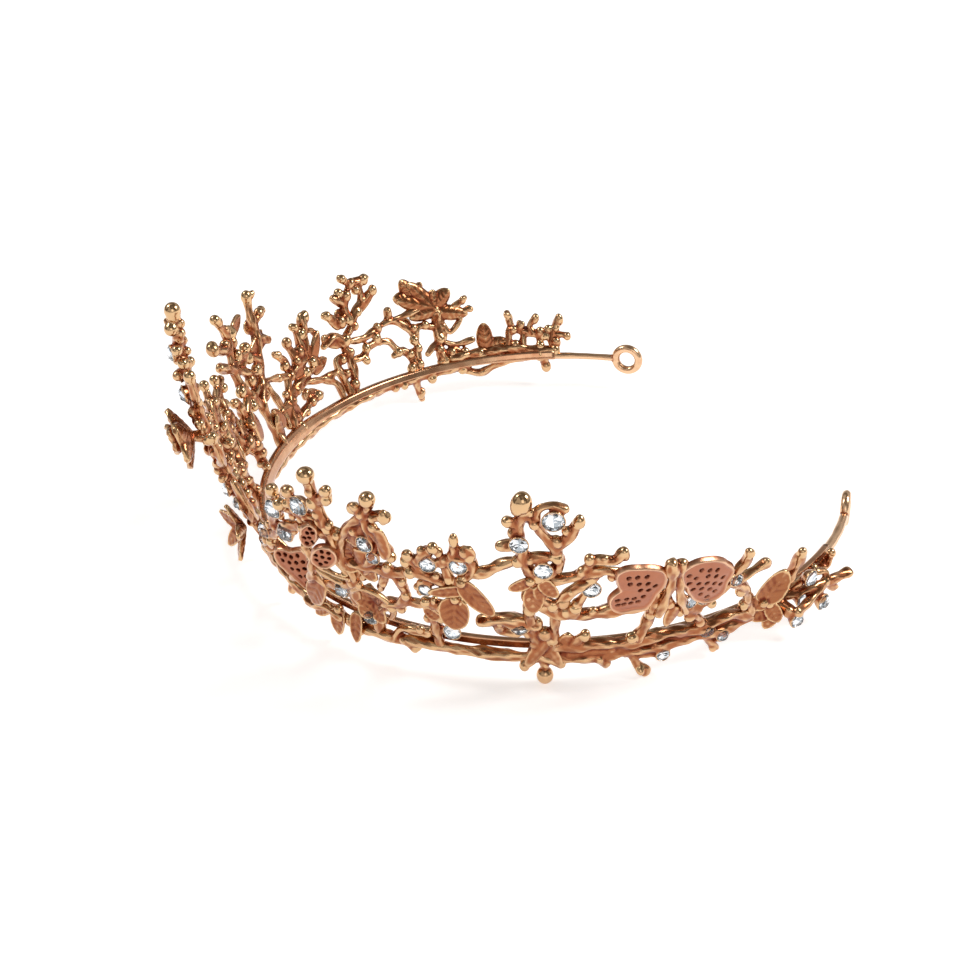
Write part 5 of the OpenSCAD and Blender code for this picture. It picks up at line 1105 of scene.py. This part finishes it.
castPiece("butterfly_front_body", [
    twig(strokePoints([(19.9, 22), (20.4, 20), (19.1, 15.1), (16.2, 8.2), (12.4, 0.4)], 2.4), 1.1, 0.8, 0.3),
    twig(strokePoints([(18.9, 19.8), (20.3, 17.8), (22, 16.4), (24.2, 15.6),
                       (26.7, 15.8)], 2.2), 0.75, 0.6, 0.3),
    twig(strokePoints([(18.6, 16.5), (19.9, 14.5), (21.9, 13.3), (24.6, 13)], 2), 0.7, 0.6, 0.3),
    twig(strokePoints([(17.6, 12.4), (18.4, 9.6), (19.8, 7.2), (21.9, 6.6)], 1.8), 0.8, 0.6, 0.3),
    twig(strokePoints([(10.5, -2.4), (12.6, -3), (14.9, -1.8), (17.4, -2.1),
                       (19.4, -2.6)], 1.8), 1.2, 1.1, 0.3),
    petal(facing(18.4, 9, 1.3, 8, 150), 10, 6, thick=0.8, veins=0.12)],
    castMetal, "cast_plate")
castPiece("butterfly_right_body", [
    twig(strokePoints([(76.6, 27), (77, 22), (76.6, 16), (76, 11)], 2.6), 1.4, 1, 0.3),
    twig(strokePoints([(78.2, 26.4), (78.4, 21), (79, 16), (80.6, 10)], 2.4), 1.2, 0.9, 0.3)],
    castMetal, "cast_plate")
print("butterflies done")

fine = dict(voxel=0.2, passes=3)
soft = dict(thick=0.62, veins=0.1, blunt=0.72)
sideFlower = dict(button=0, veins=0.1, blunt=0.8)
outerPetals = flower(-10, 32.4, 4.2, 13, 6, 8.2, 7, 24, turn=14, lip=0.5, thick=0.9, **sideFlower)
innerPetals = flower(-10, 32.6, 5.2, 13, 5, 5.4, 5, 48, turn=40, lip=0.4, thick=0.8, **sideFlower)
castPiece("flower_side", outerPetals + innerPetals, petalMetal, "petal_plate", **fine)
centreTurns = np.arange(0, 6.2, 1.05)
# The centre's top balls get the bead polish and painted highlight.
castPiece("flower_side_centre", [
    ball(place(-10, 32.4, 6.2), 1.6), twig(strokePoints([(-10, 30.4, 0.5), (-10, 32.4, 5.6)], 0), 1.4, 1.3)]
    + [ball(place(-10 + 1.6 * math.sin(k), 32.4 + 2.2 * math.cos(k), 7.2), 0.8) for k in centreTurns],
    castMetal, "cast_plate", [(place(-10, 32.4, 7.2), 2.6)])
castPiece("flower_star", flower(-4, 9.4, 3.6, 4, 5, 8, 4, 26, **soft), petalMetal, "petal_plate", **fine)
castPiece("flower_dark", flower(29.6, 23.4, -0.6, 10, 4, 6.6, 5.2, 14, turn=40, **soft), petalMetal,
          "petal_plate", **fine)
ringPath = [(29.2 + 3.9 * math.sin(k), 8.2 + 5 * math.cos(k)) for k in np.arange(-2.2, 2.6, 0.5)]
castPiece("flower_ring_low", flower(29.2, 8.4, 0.2, 4, 5, 5.4, 4.6, 16, button=0, **soft)
          + [twig(strokePoints(ringPath, 1.4), 0.9, 0.8)], petalMetal, "petal_plate", **fine)
pendant = dict(drops=[(58.2, -6.8, 2.0), (54.8, -4.4, 1.3), (61, -3.6, 1.1)])
castPiece("flower_pendant", [ball(place(u, z, 1.4), r, (0, 0, 1), 1.1) for u, z, r in pendant["drops"]]
          + [twig(strokePoints([(57.6, -1.4), (u, -4)], 1.4), 1.3, 1) for u in (54.8, 58.2, 61)],
          castMetal, "cast_plate")
# Petals and leaves: (u, z, out, lean, spin, length, width, and a turn about the upright where it has one)
leaves = dict(
    flower_right_tall=[(56.7, 24.9, 1.6, 12, 119, 5.4, 3), (58.3, 25, 1.6, 12, -146, 5.8, 3.4),
                       (57.2, 22.8, 1.6, 12, 176, 7.6, 4.4), (58, 23.3, 1.6, 12, -174, 4.6, 3)],
    flower_left=[(-96, 16, -0.7, 16, -97, 8.4, 4.2), (-95.3, 17, -0.7, 16, -70, 11, 4.8),
                 (-95.6, 16.6, -0.7, 16, -38, 11, 4.8), (-96.2, 17.3, -0.7, 16, 50, 6, 5),
                 (-96.8, 15.2, -0.7, 16, 104, 8.6, 4.6), (-95.8, 14.6, -0.7, 16, 166, 8, 3.8),
                 (-95.6, 17, -0.7, 16, 5, 5, 4)],
    flower_left_upper=[(-91.9, 20.4, 0.2, 18, -29, 6.4, 4.4), (-91.8, 19.9, 0.2, 18, -78, 6.3, 4.4),
                       (-92.3, 20.3, 0.2, 18, 33, 4.6, 3.4), (-92.3, 19.2, 0.2, 18, 122, 4, 3.2)],
    flower_right_end=[(98.9, 1.4, 2.4, 4, 76, 6.2, 4, -30), (100.2, -0.5, 3, 0, 112, 6.2, 4.4, -30),
                      (100.6, -1.9, 2.8, 0, 153, 5, 3.6, -30), (99.2, 0.8, 2.6, 6, -154, 5.9, 3.8, -30)],
    leaf_right_large=[(46.7, 22.9, 1.6, 10, -142, 10.7, 5), (47.1, 20.7, 1.6, 10, 102, 8.7, 3)],
    leaf_right_low=[(45.3, 17.4, 1.8, 8, 174, 8.8, 7), (41.8, 9.3, 1.8, 8, 49, 4.6, 3)],
    leaf_right_end=[(96.9, 3.2, 2.4, 6, -28, 10.3, 6.4, -30)],
    leaf_pair_left=[(-105.9, 2.7, 0.3, 10, -4, 8.2, 5), (-106.3, 3.7, 0.3, 10, 80, 6, 3.8)],
    leaf_left_grid=[(-30, 14, 0.4, 14, -10, 9, 6.4, 20), (-35, 8, 0.4, 14, 20, 8, 6, 20),
                    (-26, 22, 0.2, 14, -6, 8, 6.6, 24), (-48, 2, 0.4, 8, -12, 8, 5, 20)],
    petals_front_low=[(19.1, -0.3, 1.4, 0, 174, 7.4, 4.6), (24.1, 1.7, 1.4, 0, 175, 8.4, 3.6),
                      (15.1, -0.3, 1.4, 0, 118, 8, 3.4), (16.9, -0.9, 1.4, 0, 127, 6.9, 3)],
)
for name, rows in leaves.items():
    castPiece(name, [petal(facing(*row[:5], *row[7:]), row[5], row[6], bend=0.04, **soft) for row in rows]
              + [ball(place(rows[0][0], rows[0][1], rows[0][2] + 0.4), 1.2)], petalMetal,
              "petal_plate", **fine)
print("flowers and leaves done")


bandShape = dict(
    angles=(-121, -104, -90, -64, -52, -24, 0, 121),
    halfHeights=(1.2, 1.1, 0.95, 1.0, 1.7, 1.7, 1.4, 1.3),
    halfThick=0.85, middle=0.6, inward=-0.8,
    squareness=0.42,                   # 1 is an ellipse, 0 a sharp rectangle
    grooveDepth=0.14, grooveWidth=0.25,
    platingAndPaintedLight=0.22,                      # painted shade level for the whole strip: low gives a pale painted highlight, high gives painted shade
)


# Strip: a rounded rectangle (cos and sin raised to the squareness) less a shallow bell-shaped groove,
# carried round the head circle; its half height runs in straight steps between the angles.
def bandStrip():
    u = np.linspace(-head["endAngle"], head["endAngle"], 260)
    a = np.linspace(0, 2 * np.pi, 28, endpoint=False)
    power = bandShape["squareness"]
    w = bandShape["halfThick"] * np.sign(np.cos(a)) * np.abs(np.cos(a)) ** power
    h = np.sign(np.sin(a)) * np.abs(np.sin(a)) ** power
    w = w - bandShape["grooveDepth"] * np.sign(np.cos(a)) * np.exp(-(h / bandShape["grooveWidth"]) ** 2)
    tall = np.interp(u, bandShape["angles"], bandShape["halfHeights"])
    rows = [place(u, bandShape["middle"] + hk * tall, bandShape["inward"] + wk) for wk, hk in zip(w, h)]
    pts = np.stack(rows, 1)
    return closedGrid(pts[:, ::-1])


strip = build("headband_strip.form", [bandStrip()])
# The whole strip holds one low painted shade level, which paints it pale.
stripPaintedLightLevel = np.full(len(strip.data.vertices), bandShape["platingAndPaintedLight"])
strip.data.attributes.new("paintedShadeLevel", "FLOAT", "POINT").data.foreach_set("value", stripPaintedLightLevel)
strip.data.polygons.foreach_set("use_smooth", np.ones(len(strip.data.polygons), bool))
finishPiece(strip, litBandMetal, "headband_plate", "headband_strip")

# End rings: a circle of wire round the ring's middle, joined to the band's end by a straight wire
ringSpec = dict(
    ringRadius=3.45, wire=1.2,
    ends={-1: (1.0, 0.95), 1: (1.35, 1.15)},           # joining wire's radii, left and right
    wireAngles=(117.5, 121, 125, 129, 132, 134.8),
)
for side, name in ((-1, "eyelet_left"), (1, "eyelet_right")):
    origin, x, y, n = facing(side * head["ringAngle"], 0, 0)
    a = np.linspace(0, 2 * np.pi, 90, endpoint=False)
    b = np.linspace(0, 2 * np.pi, 20, endpoint=False)[None, :]
    spoke = np.cos(a)[:, None] * x + np.sin(a)[:, None] * y
    torus = (origin + (ringSpec["ringRadius"] + ringSpec["wire"] * np.cos(b))[..., None] * spoke[:, None, :]
             + (ringSpec["wire"] * np.sin(b))[..., None] * n)
    torus = np.concatenate([torus, torus[:1]])
    wirePath = [(side * u, 0) for u in ringSpec["wireAngles"]]
    # The end rings use the band's lit copy of the metal.
    castPiece(name, [closedGrid(torus), twig(strokePoints(wirePath, 0), *ringSpec["ends"][side], 0.05, 0.02)],
              litBandMetal, "headband_plate", voxel=0.2, passes=4)
print("headband and rings done")

floorFinish = dict(size=20, tone=0.93, roughness=0.6, glow=0.5)
bpy.ops.mesh.primitive_plane_add(size=floorFinish["size"])
floor = bpy.context.object
floor.name = "floor"
floorMat = bpy.data.materials.new("paleFloor")
floorMat.use_nodes = True
floorBsdf = floorMat.node_tree.nodes["Principled BSDF"]
floorBsdf.inputs["Base Color"].default_value = (*[floorFinish["tone"]] * 3, 1)
floorBsdf.inputs["Roughness"].default_value = floorFinish["roughness"]
floorBsdf.inputs["Emission Color"].default_value = (1, 1, 1, 1)
floorBsdf.inputs["Emission Strength"].default_value = floorFinish["glow"]
floor.data.materials.append(floorMat)

lamps = dict(
    key=dict(place=(-0.5, -0.6, 0.9), size=0.35, power=3.5),
    fill=dict(place=(0.9, -0.3, 0.5), size=0.5, power=0.9),
    back=dict(place=(0.45, 0.85, 0.9), size=0.45, power=8.5),
)
for name, spec in lamps.items():
    lamp = bpy.data.lights.new(name, "AREA")
    lamp.size = spec["size"]
    lamp.energy = spec["power"]
    obj = bpy.data.objects.new(name, lamp)
    obj.location = spec["place"]
    direction = -np.array(spec["place"]) + np.array([0, 0, 0.03])
    obj.rotation_euler = Vector(direction).to_track_quat("-Z", "Y").to_euler()
    bpy.context.scene.collection.objects.link(obj)

# Room: bright all round with a few soft dark patches, so polished metal and facets have something to show
room = dict(
    patchScale=1.7, patchDetail=0.5, edges=(0.42, 0.56),
    dark=(0.30, 0.27, 0.24, 1), bright=(1.0, 0.99, 0.97, 1), strength=0.57,
)
world = bpy.data.worlds.new("studio")
bpy.context.scene.world = world
world.use_nodes = True
wn, wl = world.node_tree.nodes, world.node_tree.links
coord = wn.new("ShaderNodeTexCoord")
wave = wn.new("ShaderNodeTexNoise")
wave.inputs["Scale"].default_value = room["patchScale"]
wave.inputs["Detail"].default_value = room["patchDetail"]
wl.new(coord.outputs["Generated"], wave.inputs["Vector"])
ramp = wn.new("ShaderNodeValToRGB")
ramp.color_ramp.elements[0].position = room["edges"][0]
ramp.color_ramp.elements[0].color = room["dark"]
ramp.color_ramp.elements[1].position = room["edges"][1]
ramp.color_ramp.elements[1].color = room["bright"]
wl.new(wave.outputs["Fac"], ramp.inputs["Fac"])
wl.new(ramp.outputs["Color"], wn["Background"].inputs["Color"])
wn["Background"].inputs["Strength"].default_value = room["strength"]

# Camera: where it stands, seen from the aim point, in degrees and mm, and its lens on a 36 mm frame
shot = dict(azimuth=62.657, elevation=29.46, roll=-2.345, distance=450.0, lens=69.115, frameWidth=36,
            aim=(13.009, -27.86, 15.0))
az, el, roll = (math.radians(shot[k]) for k in ("azimuth", "elevation", "roll"))
backDir = np.array([math.sin(az) * math.cos(el), -math.cos(az) * math.cos(el), math.sin(el)])
rightDir = np.array([math.cos(az), math.sin(az), 0])
upDir = np.cross(backDir, rightDir)
rightRoll = math.cos(roll) * rightDir + math.sin(roll) * upDir
upRoll = -math.sin(roll) * rightDir + math.cos(roll) * upDir
aim = np.array(shot["aim"]) + np.array([head["centreX"], head["centreY"], head["lift"]])
eye = (aim + backDir * shot["distance"]) * mm
cam = bpy.data.cameras.new("camera")
cam.sensor_width = shot["frameWidth"]
cam.lens = shot["lens"]
cam.clip_start = 0.01
camObj = bpy.data.objects.new("camera", cam)
m = Matrix.Identity(4)
for k in range(3):
    m[k][0], m[k][1], m[k][2], m[k][3] = rightRoll[k], upRoll[k], backDir[k], eye[k]
camObj.matrix_world = m
bpy.context.scene.collection.objects.link(camObj)
bpy.context.scene.camera = camObj
bpy.context.scene.view_settings.view_transform = "Standard"
print("stage ready")
